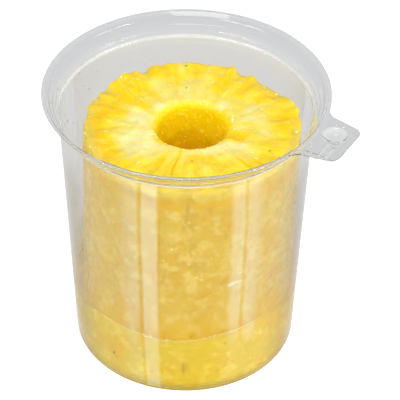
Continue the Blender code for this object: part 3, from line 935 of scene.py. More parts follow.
# What counts as the side and as the top face, and how far down the side the top's strong relief goes
SIDE_FROM = 0.9 * TOP_RADIUS
TOP_DEPTH = 2 * RIM_ROUND
SIDE_FADE = 12 * MM


def relief(angles, radius, z):
    """How far the flesh stands proud of its plain cylinder, at every angle of one station."""
    outer = min(max((radius - BORE_RADIUS) / (TOP_RADIUS - BORE_RADIUS), 0), 1)
    strength = BORE_RELIEF + (1 - BORE_RELIEF) * outer
    height = strength * (lumps_at(angles, radius, z) - RELIEF_BIAS)
    on_top = FRUIT_TOP - z < TOP_DEPTH
    if radius > SIDE_FROM:
        height *= 1 - (1 - SIDE_RELIEF) * min(max((FRUIT_TOP - z) / SIDE_FADE, 0), 1)
    if on_top:
        height -= seam_depth(angles, radius) * SEAM_DEPTH * outer
        height -= crack_depth(angles, radius)
    if radius > SIDE_FROM:
        for degrees, middle, half_width, half_height, depth in SIDE_MARKS:
            across = np.radians(turn_between(angles, degrees)) * radius
            down = bump_at(z - middle * MM, half_height * MM)
            height -= bump_at(across, half_width * MM) * down * depth * MM
    fade = min((z - FRUIT_FOOT) / FOOT_FADE, 1)
    reach = TOP_REACH if on_top else RELIEF_REACH
    return np.where(height > 0, reach * np.tanh(height / reach), height) * fade


print("relief reaches out in mm:", RELIEF_REACH / MM, "and on the top:", TOP_REACH / MM)

# %% The broken edge


def near_edge(radius, z, span):
    """1 at the top edge, falling to 0 at a span from it."""
    near = math.hypot(TOP_RADIUS - radius, FRUIT_TOP - z) / span
    return max(1 - near * near, 0)


def along_edge(angles, table):
    return sum(bump_at(turn_between(angles, at), half) * amount for at, half, amount in table)


def edge_bite(angles, radius, z):
    """How far the top edge is broken away, inwards and down alike."""
    return near_edge(radius, z, EDGE_CHIP_SPAN) * along_edge(angles, EDGE_CHIPS) * MM * math.sqrt(0.5)


def edge_rise(angles, radius, z):
    """How far the cells along the back edge stand up."""
    return near_edge(radius, z, EDGE_RISE_SPAN) * along_edge(angles, EDGE_RISES) * MM


print("bites and rises of the edge:", len(EDGE_CHIPS), len(EDGE_RISES))

# %% The fruit as one ring of flesh
# How ripe the yellow is: -1 whitish cream, 1 deep yellow
TONE_AT_CORE = -0.3
TONE_GAIN = 0.65
TONE_START = 22 * MM
TONE_SPAN = 22 * MM


def loop_normals(points):
    ahead = np.roll(points, -1, axis=0) - np.roll(points, 1, axis=0)
    normals = np.stack([-ahead[:, 1], ahead[:, 0]], axis=-1)
    return normals / np.linalg.norm(normals, axis=1)[:, None]


def make_fruit():
    profile = np.array(fruit_profile())
    even = np.arange(FRUIT_TURNS) * 2 * math.pi / FRUIT_TURNS
    angles = even - FINER_IN_FRONT * np.sin(even - math.radians(270))
    rings, seams, tops, tones, stains_and_shade = [], [], [], [], []
    for (radius, z), normal in zip(profile, loop_normals(profile)):
        amount = relief(angles, radius, z)
        bite = edge_bite(angles, radius, z)
        out = radius + normal[0] * amount - bite
        up = z + normal[1] * amount - bite + edge_rise(angles, radius, z)
        rings.append(around_axis(angles, out, up, lean(up)))
        outer = (radius - BORE_RADIUS) / (TOP_RADIUS - BORE_RADIUS)
        on_top = 1.0 if FRUIT_TOP - z < TOP_DEPTH else 0.0
        groove = seam_depth(angles, radius) * outer + crack_depth(angles, radius) / MM
        seams.append(np.clip(groove * on_top, 0, 1))
        tops.append(np.full_like(angles, on_top))
        ripeness = TONE_AT_CORE + TONE_GAIN * smooth((radius - TONE_START) / TONE_SPAN)
        tones.append(ripeness + patches(angles, radius, TOP_TONES))
        on_side = 1.0 if radius > SIDE_FROM and not on_top else 0.0
        stains_and_shade.append(on_side * patches(angles, z, SIDE_STAINS_AND_SHADE))
    found = {"groove": seams, "top": tops, "tone": tones, "stain_and_shade": stains_and_shade}
    return ring_mesh("pineapple_flesh", np.array(rings), attributes=found)


fruit = make_fruit()
print("fruit triangles:", faces_of(fruit))

# %% [markdown]
# ## Torn fibres by Geometry Nodes
# The fine fibres follow a rule: they run out from the core, and are long and thin. A noise texture
# makes them when it is read in turned coordinates. The direction from the axis counts for much, and the
# distance for little, so its spots stretch into spokes. The tree moves the points of the mesh, so the
# fibres are real relief. The direction is read as a cosine and a sine, which leaves no seam.

# %% A tree that raises fibres


def group_tree(name, sockets):
    """A Geometry Nodes tree with a mesh in and out, and named inputs for its sizes."""
    tree = bpy.data.node_groups.new(name, "GeometryNodeTree")
    tree.interface.new_socket("Geometry", in_out="INPUT", socket_type="NodeSocketGeometry")
    tree.interface.new_socket("Geometry", in_out="OUTPUT", socket_type="NodeSocketGeometry")
    for title, kind in sockets:
        tree.interface.new_socket(title, in_out="INPUT", socket_type=f"NodeSocket{kind}")
    return tree, tree.nodes.new("NodeGroupInput").outputs, tree.nodes.new("NodeGroupOutput")


def grow(piece, tree, values):
    """Runs a tree on a piece, keeps the result as its plain mesh, and removes the modifier."""
    modifier = piece.modifiers.new(tree.name, "NODES")
    modifier.node_group = tree
    for item in tree.interface.items_tree:
        if item.in_out == "INPUT" and item.name in values:
            modifier[item.identifier] = values[item.name]
    graph = bpy.context.evaluated_depsgraph_get()
    graph.update()
    grown = bpy.data.meshes.new_from_object(piece.evaluated_get(graph))
    piece.modifiers.remove(modifier)
    piece.data = grown
    return piece


print("group trees ready")

# %% The fibres' tree
FIBRE_CENTRE = (TOP_X, -9.0 * MM, 0)
FIBRE_LEVEL = 0.55


def vector_maths(tree, operation, sockets, output=0):
    return add_node(tree, "ShaderNodeVectorMath", sockets, operation=operation).outputs[output]


def named(tree, title, kind="FLOAT"):
    """What the mesh carries at each of its points, read in a Geometry Nodes tree."""
    return output_of(tree, "GeometryNodeInputNamedAttribute", {"Name": title}, data_type=kind)


def end_tree(tree, given, output, geometry, soft=True):
    """Makes the geometry real, shades it smooth if it is to be soft, and gives it its material."""
    real = output_of(tree, "GeometryNodeRealizeInstances", {0: geometry})
    if soft:
        real = output_of(tree, "GeometryNodeSetShadeSmooth", {0: real})
    dressed = output_of(tree, "GeometryNodeSetMaterial", {0: real, "Material": given["Material"]})
    tree.links.new(dressed, output.inputs[0])
    return tree


def from_axis(tree, position, centre):
    """The direction and the distance of a place from an upright axis."""
    offset = vector_maths(tree, "SUBTRACT", {0: position, 1: centre})
    flat = vector_maths(tree, "MULTIPLY", {0: offset, 1: (1, 1, 0)})
    radius = vector_maths(tree, "LENGTH", {0: flat}, "Value")
    return vector_maths(tree, "NORMALIZE", {0: flat}), radius


def spoke_vector(tree, position, count, run):
    """Turned coordinates about the fibres' axis: count for the direction, run for the distance."""
    aside, radius = from_axis(tree, position, FIBRE_CENTRE)
    x, y = (times(tree, part, count) for part in xyz(tree, aside)[:2])
    return output_of(tree, "ShaderNodeCombineXYZ", {0: x, 1: y, 2: times(tree, radius, run)})


def fibre_tree():
    sockets = (("Depth", "Float"), ("Count", "Float"), ("Run", "Float"), ("Material", "Material"))
    tree, given, output = group_tree("fibre_relief", sockets)
    position = output_of(tree, "GeometryNodeInputPosition")
    ridges = noise_of(tree, spoke_vector(tree, position, given["Count"], given["Run"]), 1.0)
    height = times(tree, minus(tree, ridges, FIBRE_LEVEL), given["Depth"])
    height = times(tree, height, named(tree, "top"))
    normal = output_of(tree, "GeometryNodeInputNormal")
    move = vector_maths(tree, "SCALE", {0: normal, "Scale": height})
    moved = output_of(tree, "GeometryNodeSetPosition", {0: given["Geometry"], "Offset": move})
    return end_tree(tree, given, output, moved, soft=False)


print("fibre tree inputs: Depth, Count, Run")

# %% [markdown]
# ## Wet pineapple flesh
# The colour follows the same spokes. Round the core the flesh is pale cream fibre, and towards the
# fruitlets it turns a deep clear yellow. The bore is golden, and the cut side is duller and blotchy.
# Light goes a few millimetres into it, so it has subsurface scattering, and a thin coat of juice gives
# some small sharp lights; most of them are painted highlights, pale glowing beads strewn further down.

# %% Colours of the flesh
# From the palest to the deepest yellow of the top, each with its place between -1 and 1
TOP_YELLOWS = (
    (-1.0, (1.0, 0.87, 0.37)), (-0.45, (1.0, 0.79, 0.17)), (0.05, (1.0, 0.72, 0.030)),
    (0.5, (1.0, 0.66, 0.002)), (1.1, (0.99, 0.60, 0.0005)),
)
PALE_FIBRE = (1.0, 0.90, 0.32)
GOLD = (1.0, 0.72, 0.001)
# The gold deeper in the bore, as painted shade, and the strength of the bore's painted glow
GOLD_IN_SHADE = (0.85, 0.49, 0.001)
BORE_PAINTED_GLOW = 0.06
GOLD_SPECK = (1.0, 0.84, 0.07)
FIBRE_COUNT = 9.0
FIBRE_RUN = 34.0
FIBRE_DEPTH = 0.4 * MM
CLOUD_SIZE = 95.0
CLOUD_GAIN = 1.7
STREAK_GAIN = 1.3
THREAD_SHARE = 0.22


def top_colour(tree, place):
    """The yellows of the top, blurred by clouds and by fibres that run out like spokes."""
    spokes = spoke_vector(tree, place, FIBRE_COUNT, FIBRE_RUN)
    tone = plus(tree, attribute(tree, "tone"), swing(tree, place, CLOUD_SIZE, CLOUD_GAIN, 3.0, 0.6))
    tone = plus(tree, tone, swing(tree, spokes, 1.0, STREAK_GAIN, 4.0, 0.6))
    low, high = TOP_YELLOWS[0][0], TOP_YELLOWS[-1][0]
    share = output_of(tree, "ShaderNodeMapRange", {"Value": tone, "From Min": low, "From Max": high})
    colours = add_node(tree, "ShaderNodeValToRGB", {0: share})
    stops = colours.color_ramp.elements
    for number, (at, colour) in enumerate(TOP_YELLOWS):
        stop = stops[number] if number < 2 else stops.new((at - low) / (high - low))
        stop.position = (at - low) / (high - low)
        stop.color = (*colour, 1)
    fine = noise_of(tree, spoke_vector(tree, place, 5 * FIBRE_COUNT, 4 * FIBRE_RUN), 1.0)
    threads = ramp(tree, fine, 0.5, 0.7, 0.0, THREAD_SHARE)
    return mixed(tree, threads, colours.outputs[0], PALE_FIBRE), threads


print("yellows of the top:", len(TOP_YELLOWS))

# %% Colours of the side
SIDE_TAN = (0.745, 0.505, 0.044)
SIDE_OCHRE = (0.735, 0.455, 0.028)
SIDE_PALE = (0.88, 0.71, 0.20)
SIDE_RIM = (0.80, 0.60, 0.075)
SIDE_GOLD = (0.76, 0.475, 0.010)
STAIN_AND_SHADE = (0.74, 0.41, 0.003)
SOAKED = (0.68, 0.555, 0.08)
SOAKED_PALE = (0.79, 0.71, 0.32)
SOAKED_DEEP = (0.70, 0.50, 0.02)
STAIN_AND_SHADE_SHARE = 0.6
CLUMP_SIZE = 170.0
BROAD_SIZE = 60.0
DEEP_SIZE = 90.0
WARP_SIZE = 110.0
# The golden band, the band along the rim and the soaked foot, each by the heights where it sets in
GOLD_BAND = (103.5 * MM, 107.5 * MM)
RIM_BAND = (109.5 * MM, 113 * MM)
BAND_WARP = 9 * MM
SOAK_LEVELS = (33 * MM, 30 * MM)


def side_colour(tree, place, height):
    """The peeled side: tan flesh with pale clumps, ochre stains and painted crease shade, brighter where
    juice soaks it.
    """
    clumps = ramp(tree, noise_of(tree, place, CLUMP_SIZE, 4.0, 0.65), 0.46, 0.68)
    broad = ramp(tree, noise_of(tree, place, BROAD_SIZE), 0.42, 0.66, 0.0, 0.8)
    dry = mixed(tree, broad, SIDE_TAN, SIDE_OCHRE)
    dry = mixed(tree, times(tree, clumps, 0.6), dry, SIDE_PALE)
    deep = ramp(tree, noise_of(tree, place, DEEP_SIZE, 3.0), 0.48, 0.62, 0.0, 0.9)
    wet = mixed(tree, deep, SOAKED, SOAKED_DEEP)
    wet = mixed(tree, times(tree, clumps, 0.9), wet, SOAKED_PALE)
    level = plus(tree, height, swing(tree, place, WARP_SIZE, BAND_WARP))
    dry = mixed(tree, times(tree, ramp(tree, level, *GOLD_BAND), 0.8), dry, SIDE_GOLD)
    dry = mixed(tree, ramp(tree, level, *RIM_BAND), dry, SIDE_RIM)
    colour = mixed(tree, ramp(tree, height, *SOAK_LEVELS), dry, wet)
    # Ochre stains, and painted shade in the creases and under the torn flaps
    return mixed(tree, times(tree, attribute(tree, "stain_and_shade"), STAIN_AND_SHADE_SHARE, True), colour, STAIN_AND_SHADE)


print("the side is soaked below, in mm:", SOAK_LEVELS[0] / MM)

# %% Flesh material
GROOVE_SHADE_SHARE = 0.6
GRANULE_SIZE = 700.0
# Where the bore's gold begins and how ragged its edge is, where it is painted darker deeper down as shade,
# and where it gets a painted glow
BORE_EDGE = (18.6 * MM, 16.4 * MM)
BORE_RAGGED = 3 * MM
BORE_SHADE_LEVELS = (106 * MM, 82 * MM)
BORE_GLOW_LEVELS = (84 * MM, 108 * MM)
# Where the side's colour begins, outwards and downwards
SIDE_START = (43 * MM, 45.5 * MM)
TOP_END = (117.2 * MM, 116 * MM)
TOP_WARP = 4 * MM

flesh, tree, output = new_material("pineapple_flesh")
place = object_place(tree)
_, radius = from_axis(tree, place, (TOP_X, 0, 0))
height = xyz(tree, place)[2]
colour, threads = top_colour(tree, place)
# Painted shade: the seams and cracks of the top are a deeper yellow, so their shade reads warm
seams = times(tree, attribute(tree, "groove"), GROOVE_SHADE_SHARE)
colour = mixed(tree, seams, colour, TOP_YELLOWS[-1][1])
granules = noise_of(tree, place, GRANULE_SIZE)
ragged = plus(tree, radius, times(tree, minus(tree, granules, 0.5), BORE_RAGGED))
specks = ramp(tree, granules, 0.58, 0.68, 0.0, 0.7)
in_bore = ramp(tree, ragged, *BORE_EDGE)
# Painted shade: the bore's gold turns darker deeper down
gold = mixed(tree, ramp(tree, height, *BORE_SHADE_LEVELS), GOLD, GOLD_IN_SHADE)
colour = mixed(tree, in_bore, colour, mixed(tree, specks, gold, GOLD_SPECK))
warped = plus(tree, height, swing(tree, place, WARP_SIZE, TOP_WARP))
on_side = times(tree, ramp(tree, radius, *SIDE_START), ramp(tree, warped, *TOP_END))
colour = mixed(tree, on_side, colour, side_colour(tree, place, height))
# A painted glow: the bore gives off a little light, standing for light that comes through the ring of flesh
glow = times(tree, in_bore, ramp(tree, height, *BORE_GLOW_LEVELS, 0.0, BORE_PAINTED_GLOW))
grain = times(tree, plus(tree, threads, granules), minus(tree, 1.0, on_side))
grain = plus(tree, grain, times(tree, granules, 0.3))
bump = output_of(tree, "ShaderNodeBump", {"Strength": 0.3, "Distance": 0.35 * MM, "Height": grain})
wet = ramp(tree, noise_of(tree, place, 260.0, 1.0), 0.35, 0.65, 0.2, 0.5)
meat = principled(tree, {
    "Base Color": colour, "Roughness": wet, "Normal": bump, "Specular IOR Level": 0.25,
    "Subsurface Weight": 0.55, "Subsurface Radius": (1.0, 0.65, 0.1), "Subsurface Scale": 0.004,
    "Coat Weight": 0.06, "Coat Roughness": 0.08,
    "Emission Color": (1.0, 0.62, 0.0, 1.0), "Emission Strength": glow,
})
tree.links.new(meat, output.inputs[0])
fibres = {"Depth": FIBRE_DEPTH, "Count": 2 * FIBRE_COUNT, "Run": FIBRE_RUN, "Material": flesh}
grow(fruit, fibre_tree(), fibres)
print("fruit triangles with fibres:", faces_of(fruit))

# %% [markdown]
# ## The juice
# Juice lies in the foot of the tub, under the fruit and up inside its bore. Where liquid meets plastic
# there is one surface and not two, so the juice is made to reach just into the wall, and into the fruit
# as well. Its top climbs a little at both edges, and stands unevenly round the fruit.

# %% Level of the juice
JUICE_LEVEL = 30.5 * MM
# How high the film of juice climbs on the wall: degrees and mm. It stands higher where the fruit is close
WATERLINE = (
    (0, 32.5), (45, 33.5), (90, 32.5), (135, 33.5), (180, 31), (199, 29.8), (214, 33.2), (226, 34.8),
    (240, 33.8), (248, 34), (254, 32.4), (261, 31.9), (270, 32.7), (280, 33.6), (289, 34.8), (304, 36),
    (312, 37), (321, 35.5), (329, 33), (338, 33.3),
)
INTO_WALL = 0.42 * MM
CLIMB = 0.9 * MM
WATERLINE_BLUR = (-4, 0, 4)
WALL_ENDS = 1.5 * MM


def waterline(angles):
    """The level at the wall, the table's heights joined softly."""
    turns, heights = np.array(WATERLINE).T
    near = [np.interp(np.degrees(angles) + step, turns, heights, period=360) for step in WATERLINE_BLUR]
    return np.mean(near, axis=0) * MM


def juice_wall():
    """The outer stations of the juice, inside the thickness of the tub's wall."""
    middle = inset(outside, WALL - INTO_WALL)
    below = [station for station in middle if station[1] < JUICE_LEVEL - WALL_ENDS]
    return below, middle[len(below)]


levels = [level for _, level in WATERLINE]
print("lowest and highest level of the film in mm:", min(levels), max(levels))

# %% Juice body
JUICE_TURNS = 240
INTO_FRUIT = 3.0 * MM
# The juice's top from the wall to the fruit: share of the gap, and share of the climb
SURFACE = ((0.12, 0.45), (0.3, 0.1), (0.5, 0.0), (0.7, 0.1), (1.0, 0.6))


def make_juice():
    angles = np.arange(JUICE_TURNS) * 2 * math.pi / JUICE_TURNS
    level = waterline(angles)

    def ring(*station):
        return around_axis(angles, *station)

    below, after = juice_wall()
    rings = [ring(*station) for station in below]
    last = below[-1]
    slope = (after[0] - last[0]) / (after[1] - last[1])
    rings.append(ring(last[0] + slope * (level + CLIMB - last[1]), level + CLIMB))
    inner = side_radius(JUICE_LEVEL) - INTO_FRUIT
    gap_out = last[0] + slope * (JUICE_LEVEL - last[1])
    for share, climb in SURFACE:
        radius = gap_out + (inner - gap_out) * share
        rings.append(ring(radius, level + CLIMB * climb, lean(JUICE_LEVEL) * share))
    heel = FRUIT_FOOT + FOOT_ROUND
    rings.append(ring(side_radius(heel) - INTO_FRUIT, heel, lean(heel)))
    for x, z in arc((0, 0), FOOT_ROUND - INTO_FRUIT, 0, -90, 4)[1:]:
        rings.append(ring(side_radius(heel) - FOOT_ROUND + x, heel + z, lean(heel)))
    under = FRUIT_FOOT + INTO_FRUIT
    bore = BORE_RADIUS + INTO_FRUIT
    rings.append(ring(bore, under, FOOT_X))
    for z in (JUICE_LEVEL / 2, JUICE_LEVEL - MM):
        rings.append(ring(bore, z, lean(z)))
    for radius, climb in ((bore, 0.9), (BORE_RADIUS - 0.5 * MM, 0.5), (BORE_RADIUS - 2 * MM, 0.05)):
        rings.append(ring(radius, JUICE_LEVEL + CLIMB * climb, lean(JUICE_LEVEL)))
    poles = ((0, 0, INTO_WALL), (lean(JUICE_LEVEL), 0, JUICE_LEVEL))
    return ring_mesh("juice_body", np.array(rings), poles=poles)


juice = make_juice()
print("juice triangles:", faces_of(juice))

# %% Where light passes straight
OUTER_TOP = 124 * MM
OUTER_FADE = 3 * MM
CLEAR_OF_FRUIT = 1.0 * MM


def mark_points(mesh, title, rule):
    """Gives every point of a mesh a number by its place."""
    place = np.empty(3 * len(mesh.vertices), np.float32)
    mesh.vertices.foreach_get("co", place)
    add_numbers(mesh, title, rule(*place.reshape(-1, 3).T))


def middle_radius(z):
    """How far the middle of the wall's thickness stands from the tub's axis."""
    profile = np.array(outside)[len(base_arc) // 2:]
    return np.interp(z, profile[:, 1], profile[:, 0]) - WALL / 2


def unbent_wall(x, y, z):
    """1 where light passes straight, on the tub's inner face where juice lies against it."""
    inner = (np.hypot(x, y) < middle_radius(z)) & (z > WALL / 2)
    return inner & (z < waterline(np.arctan2(y, x)) + CLIMB / 2)


def outer_wall(x, y, z):
    """1 on the tub's outer face, up to the flange."""
    return (np.hypot(x, y) > middle_radius(z)) * np.clip((OUTER_TOP - z) / OUTER_FADE, 0, 1)


def at_wall(x, y, z):
    """1 where the juice's own surface lies in the tub's wall."""
    radius = np.hypot(x, y)
    wall = np.interp(z, [0, JUICE_LEVEL], [0.9, 1]) * BASE_RADIUS
    beside = (z < JUICE_LEVEL + WALL_ENDS) & (radius > wall) & (radius > side_radius(z) + CLEAR_OF_FRUIT)
    return beside | (z < WALL)


mark_points(tub_shell.data, "unbent", unbent_wall)
mark_points(tub_shell.data, "outer", outer_wall)
mark_points(juice.data, "at_wall", at_wall)
print("points of the tub and of the juice:", len(tub_shell.data.vertices), len(juice.data.vertices))

# %% Juice material
JUICE_TINT = (1.0, 0.93, 0.36)
JUICE_SHADE = (1.0, 0.88, 0.22)
JUICE_DEEP = (1.0, 0.80, 0.07)
JUICE_IOR = 1.34
JUICE_CLOUDS = 60.0

juice_look, tree, output = new_material("pineapple_juice")
cloud = ramp(tree, noise_of(tree, object_place(tree), JUICE_CLOUDS), 0.35, 0.7)
edge = maths(tree, "POWER", edge_on(tree), 2.0)
tint = mixed(tree, edge, mixed(tree, cloud, JUICE_TINT, JUICE_SHADE), JUICE_DEEP)
# Light hardly bends between plastic and juice, and bends as in water where juice meets air
bending = output_of(tree, "ShaderNodeMix", {0: attribute(tree, "at_wall"), 2: JUICE_IOR, 3: 1.0})
liquid = {"Base Color": tint, "Roughness": 0.03, "IOR": bending, "Specular IOR Level": 0.1}
liquid = principled(tree, {**liquid, "Transmission Weight": 0.85})
both = blend(tree, is_ray(tree, "Shadow"), liquid, clear(tree, JUICE_TINT))
tree.links.new(both, output.inputs[0])
juice.data.materials.append(juice_look)
print("juice tint:", JUICE_TINT)

# %% [markdown]
# ## Small things strewn by Geometry Nodes
# Pulp, fibres, drops and specks repeat by the hundred, so one tree makes them all. It scatters points
# over a surface, denser where the surface's own "density" says so, and puts a small rounded bit on each.
# A stretched bit can lie along the spokes, as a torn fibre does. The seed keeps every run alike.

# %% A tree that strews bits
SPIN = 0.35


def strewn_tree(name, along_spokes):
    """Strews rounded bits over faces, flat on them or with their long side along the spokes."""
    titles = [(title, "Float") for title in ("Density", "Smallest", "Largest")]
    titles += [("Shape", "Vector"), ("Seed", "Int"), ("Material", "Material")]
    tree, given, output = group_tree(name, titles)
    seed = {"Seed": given["Seed"]}
    density = times(tree, named(tree, "density"), given["Density"])
    sockets = {"Mesh": given["Geometry"], "Density": density, **seed}
    spots = add_node(tree, "GeometryNodeDistributePointsOnFaces", sockets).outputs
    turn = spots["Rotation"]
    if along_spokes:
        here = output_of(tree, "GeometryNodeInputPosition")
        spoke = vector_maths(tree, "SUBTRACT", {0: here, 1: (*FIBRE_CENTRE[:2], FRUIT_TOP)})
        sockets = {"Rotation": turn, "Vector": spoke}
        turn = output_of(tree, "FunctionNodeAlignRotationToVector", sockets, axis="Z")
    sockets = {0: (-SPIN, -SPIN, -SPIN), 1: (SPIN, SPIN, SPIN), **seed}
    wobble = output_of(tree, "FunctionNodeRandomValue", sockets, data_type="FLOAT_VECTOR")
    turn = output_of(tree, "FunctionNodeRotateRotation", {"Rotation": turn, "Rotate By": wobble})
    sockets = {2: given["Smallest"], 3: given["Largest"], **seed}
    size = add_node(tree, "FunctionNodeRandomValue", sockets).outputs[1]
    scale = vector_maths(tree, "SCALE", {0: given["Shape"], "Scale": size})
    bit = output_of(tree, "GeometryNodeMeshIcoSphere", {"Radius": 1 * MM, "Subdivisions": 1})
    sockets = {"Points": spots["Points"], "Instance": bit, "Rotation": turn, "Scale": scale}
    return end_tree(tree, given, output, output_of(tree, "GeometryNodeInstanceOnPoints", sockets))


lying = strewn_tree("bits_on_a_face", along_spokes=False)
spoked = strewn_tree("bits_along_spokes", along_spokes=True)
print("trees that strew:", lying.name, spoked.name)

# %% Strewing on a surface


def strew(name, surface, tree, bits, look, rule):
    """A new piece of bits on a copy of a surface, as dense as the rule says at each place. The bits are
    given by density, smallest and largest half size in mm, shape and seed."""
    mesh = surface.copy()
    mark_points(mesh, "density", lambda *place: np.clip(rule(*place), 0, 1))
    piece = add_object(name, mesh)
    titles = ("Density", "Smallest", "Largest", "Shape", "Seed")
    grow(piece, tree, {**dict(zip(titles, bits)), "Material": look})
    print(name, "triangles:", faces_of(piece))
    return piece


print("ready to strew")

# %% [markdown]
# ## Torn fibres and crumbs of pulp
# The peeler's and the corer's blades leave loose threads and crumbs. The threads lie along the spokes,
# most of them in the pale ring, and the crumbs gather at the outer edge and on the lip of the bore. Pale
# glowing beads stand for the small wet lights of the top: painted highlights.

# %% Looks of the pulp
SHADE_SIZE = 300.0
SHADE_DARKER = 0.8


def simple_look(name, colour, roughness, sockets):
    look, tree, output = new_material(name)
    shade = ramp(tree, noise_of(tree, object_place(tree), SHADE_SIZE, 1.0), 0.35, 0.65)
    darker = tuple(part * SHADE_DARKER for part in colour)
    values = {"Base Color": mixed(tree, shade, colour, darker), "Roughness": roughness, **sockets}
    tree.links.new(principled(tree, values), output.inputs[0])
    return look


# Bits this small let light through, and a little painted glow stands for it, beside a wet coat
WET_AND_GLOWING = {"Coat Weight": 0.3, "Coat Roughness": 0.05, "Emission Strength": 0.3}
pale_pulp = simple_look("pale_pulp", (1.0, 0.93, 0.48), 0.25, {**WET_AND_GLOWING, "Emission Color": (1, 0.86, 0.35, 1)})
gold_pulp = simple_look("gold_pulp", (1.0, 0.86, 0.16), 0.25, {**WET_AND_GLOWING, "Emission Color": (1, 0.72, 0.05, 1)})
painted_glint = simple_look("painted_wet_glint", (1.0, 0.98, 0.86), 0.1, {**WET_AND_GLOWING, "Emission Color": (1, 0.95, 0.75, 1)})
print("looks of pulp:", pale_pulp.name, gold_pulp.name, painted_glint.name)

# %% Pulp on the fruit
# Where the painted glints gather: degrees, radius in mm, half widths and strength
DAMP_GLINT_PLACES = (
    (205, 34, 10, 3, 1.0), (15, 30, 7, 5, 0.8), (48, 19, 7, 2, 0.6), (128, 42, 8, 4, 0.7),
    (310, 40, 12, 3, 0.5),
)
TOP_DEEP = 1.6 * MM
BORE_REACH = 17 * MM
BORE_CRUMB_DEPTH = 32 * MM


def top_ring(x, y, z, near, far, soft):
    """1 on the top face between two radii from the fruit's axis, in mm, fading out over soft mm."""
    radius = np.hypot(x - TOP_X, y) / MM
    inside_ring = np.clip((radius - near) / soft + 1, 0, 1) * np.clip((far - radius) / soft + 1, 0, 1)
    return inside_ring * (z > FRUIT_TOP - TOP_DEEP)


def thread_rule(x, y, z):
    return top_ring(x, y, z, 21, 40, 5)


def crumb_rule(x, y, z):
    return np.maximum(0.25 * top_ring(x, y, z, 45, 50, 3), top_ring(x, y, z, 16, 19, 2))


def glint_rule(x, y, z):
    """Painted highlights: small pale glowing beads for the wet lights, most of them in a few damp places of
    the top.
    """
    turns = np.arctan2(y, x - TOP_X)
    damp = patches(turns, np.hypot(x - TOP_X, y), DAMP_GLINT_PLACES)
    return (0.05 + damp) * top_ring(x, y, z, 17, 48, 3)


def bore_rule(x, y, z):
    in_bore = np.hypot(x - TOP_X, y) < BORE_REACH
    return in_bore * np.clip(1 - (FRUIT_TOP - z) / BORE_CRUMB_DEPTH, 0, 1)


flesh_mesh = fruit.data
PULP = (
    ("torn_fibres", flesh_mesh, spoked, (9000, 0.6, 1.5, (0.13, 0.13, 1.5), 3), pale_pulp, thread_rule),
    ("pulp_crumbs", flesh_mesh, lying, (60000, 0.2, 0.5, (1.0, 1.2, 0.7), 5), pale_pulp, crumb_rule),
    ("painted_wet_glints", flesh_mesh, spoked, (55000, 0.1, 0.26, (0.8, 0.8, 1.2), 6), painted_glint, glint_rule),
    ("bore_crumbs", flesh_mesh, lying, (300000, 0.12, 0.3, (1.0, 1.0, 0.7), 8), gold_pulp, bore_rule),
)
pulp = [strew(*bits) for bits in PULP]

# %% [markdown]
# ## Specks, drops and froth on the wall
# Splashes dry on the inside of the wall as small olive specks, mostly where the tub was filled from,
# and clear drops hang lower down. Froth sits along the waterline, where the film of juice ends, and its pale
# bits also stand for the line of light there: partly a painted highlight. All of them sit on patches of the
# wall's inner face, worked out from the same section.

# %% Surfaces to strew on
inner_radii, inner_heights = np.array(inside).T


def inner_wall(low, high, rows, inset_by=0.0, turns=180):
    """A patch of the wall's inner face between two heights, each a number or a function of the angle."""
    angles = np.arange(turns + 1) * 2 * math.pi / turns
    bottom, top = (end(angles) if callable(end) else end for end in (low, high))
    rings = []
    for k in range(rows + 1):
        z = bottom + (top - bottom) * k / rows
        radius = np.interp(z, inner_heights, inner_radii) - inset_by
        rings.append(around_axis(angles, radius, z))
    count = turns + 1
    faces = [
        (r * count + i + 1, r * count + i, (r + 1) * count + i, (r + 1) * count + i + 1)
        for r in range(rows) for i in range(turns)
    ]
    mesh = bpy.data.meshes.new("wall_patch")
    mesh.from_pydata(np.concatenate(rings).tolist(), [], faces)
    return mesh


def facing_turn(x, y, degrees, spread):
    """1 in one direction round the tub, falling to 0 at spread degrees from it."""
    return bump_at(turn_between(np.arctan2(y, x), degrees), spread / 2)


print("inner radius at mid height in mm:", round(float(np.interp(0.06, inner_heights, inner_radii)) / MM, 1))

# %% Specks, drops and froth
speck_look = simple_look("dried_juice", (0.60, 0.54, 0.27), 0.4, {"Alpha": 0.7})
drop_look = simple_look("clear_drop", (0.95, 0.95, 0.90), 0.05, {"Alpha": 0.4})
froth_and_highlight_look = simple_look("froth", (1.0, 0.93, 0.60), 0.1, {"Alpha": 0.8})


def speck_rule(x, y, z):
    left = facing_turn(x, y, 175, 55) + 0.3 * facing_turn(x, y, 130, 60)
    return left + 0.55 * facing_turn(x, y, 20, 45) + 0.02


def drop_rule(x, y, z):
    return 0.25 + 0.75 * facing_turn(x, y, 215, 40)


def froth_rule(x, y, z):
    return 0.1 + 0.6 * facing_turn(x, y, 255, 30) + 0.3 * facing_turn(x, y, 290, 30)


upper_wall = inner_wall(96 * MM, 133 * MM, 14)
middle_wall = inner_wall(42 * MM, 118 * MM, 14)
over_line = (lambda turns: waterline(turns) + 0.2 * MM, lambda turns: waterline(turns) + 1.8 * MM)
at_line = inner_wall(*over_line, 2, 0.1 * MM)
WALL_BITS = (
    ("wall_specks", upper_wall, lying, (9000, 0.22, 0.55, (0.7, 1.2, 0.35), 11), speck_look, speck_rule),
    ("wall_drops", middle_wall, lying, (7000, 0.2, 0.5, (0.9, 1.3, 0.45), 12), drop_look, drop_rule),
    ("waterline_froth_and_highlight", at_line, lying, (900000, 0.12, 0.5, (1.0, 1.0, 0.8), 13), froth_and_highlight_look, froth_rule),
)
wall_bits = [strew(*bits) for bits in WALL_BITS]

# %% [markdown]
# ## The edge of the film
# Where the film of juice ends on the wall it piles up into a thin pale line, which also stands for the line
# of light along the waterline: partly a painted highlight. It follows the waterline all round, so it is a
# curve with a small round section. A tree turns the curve into a bead, and a noise makes it thick and thin
# as a drying edge is.

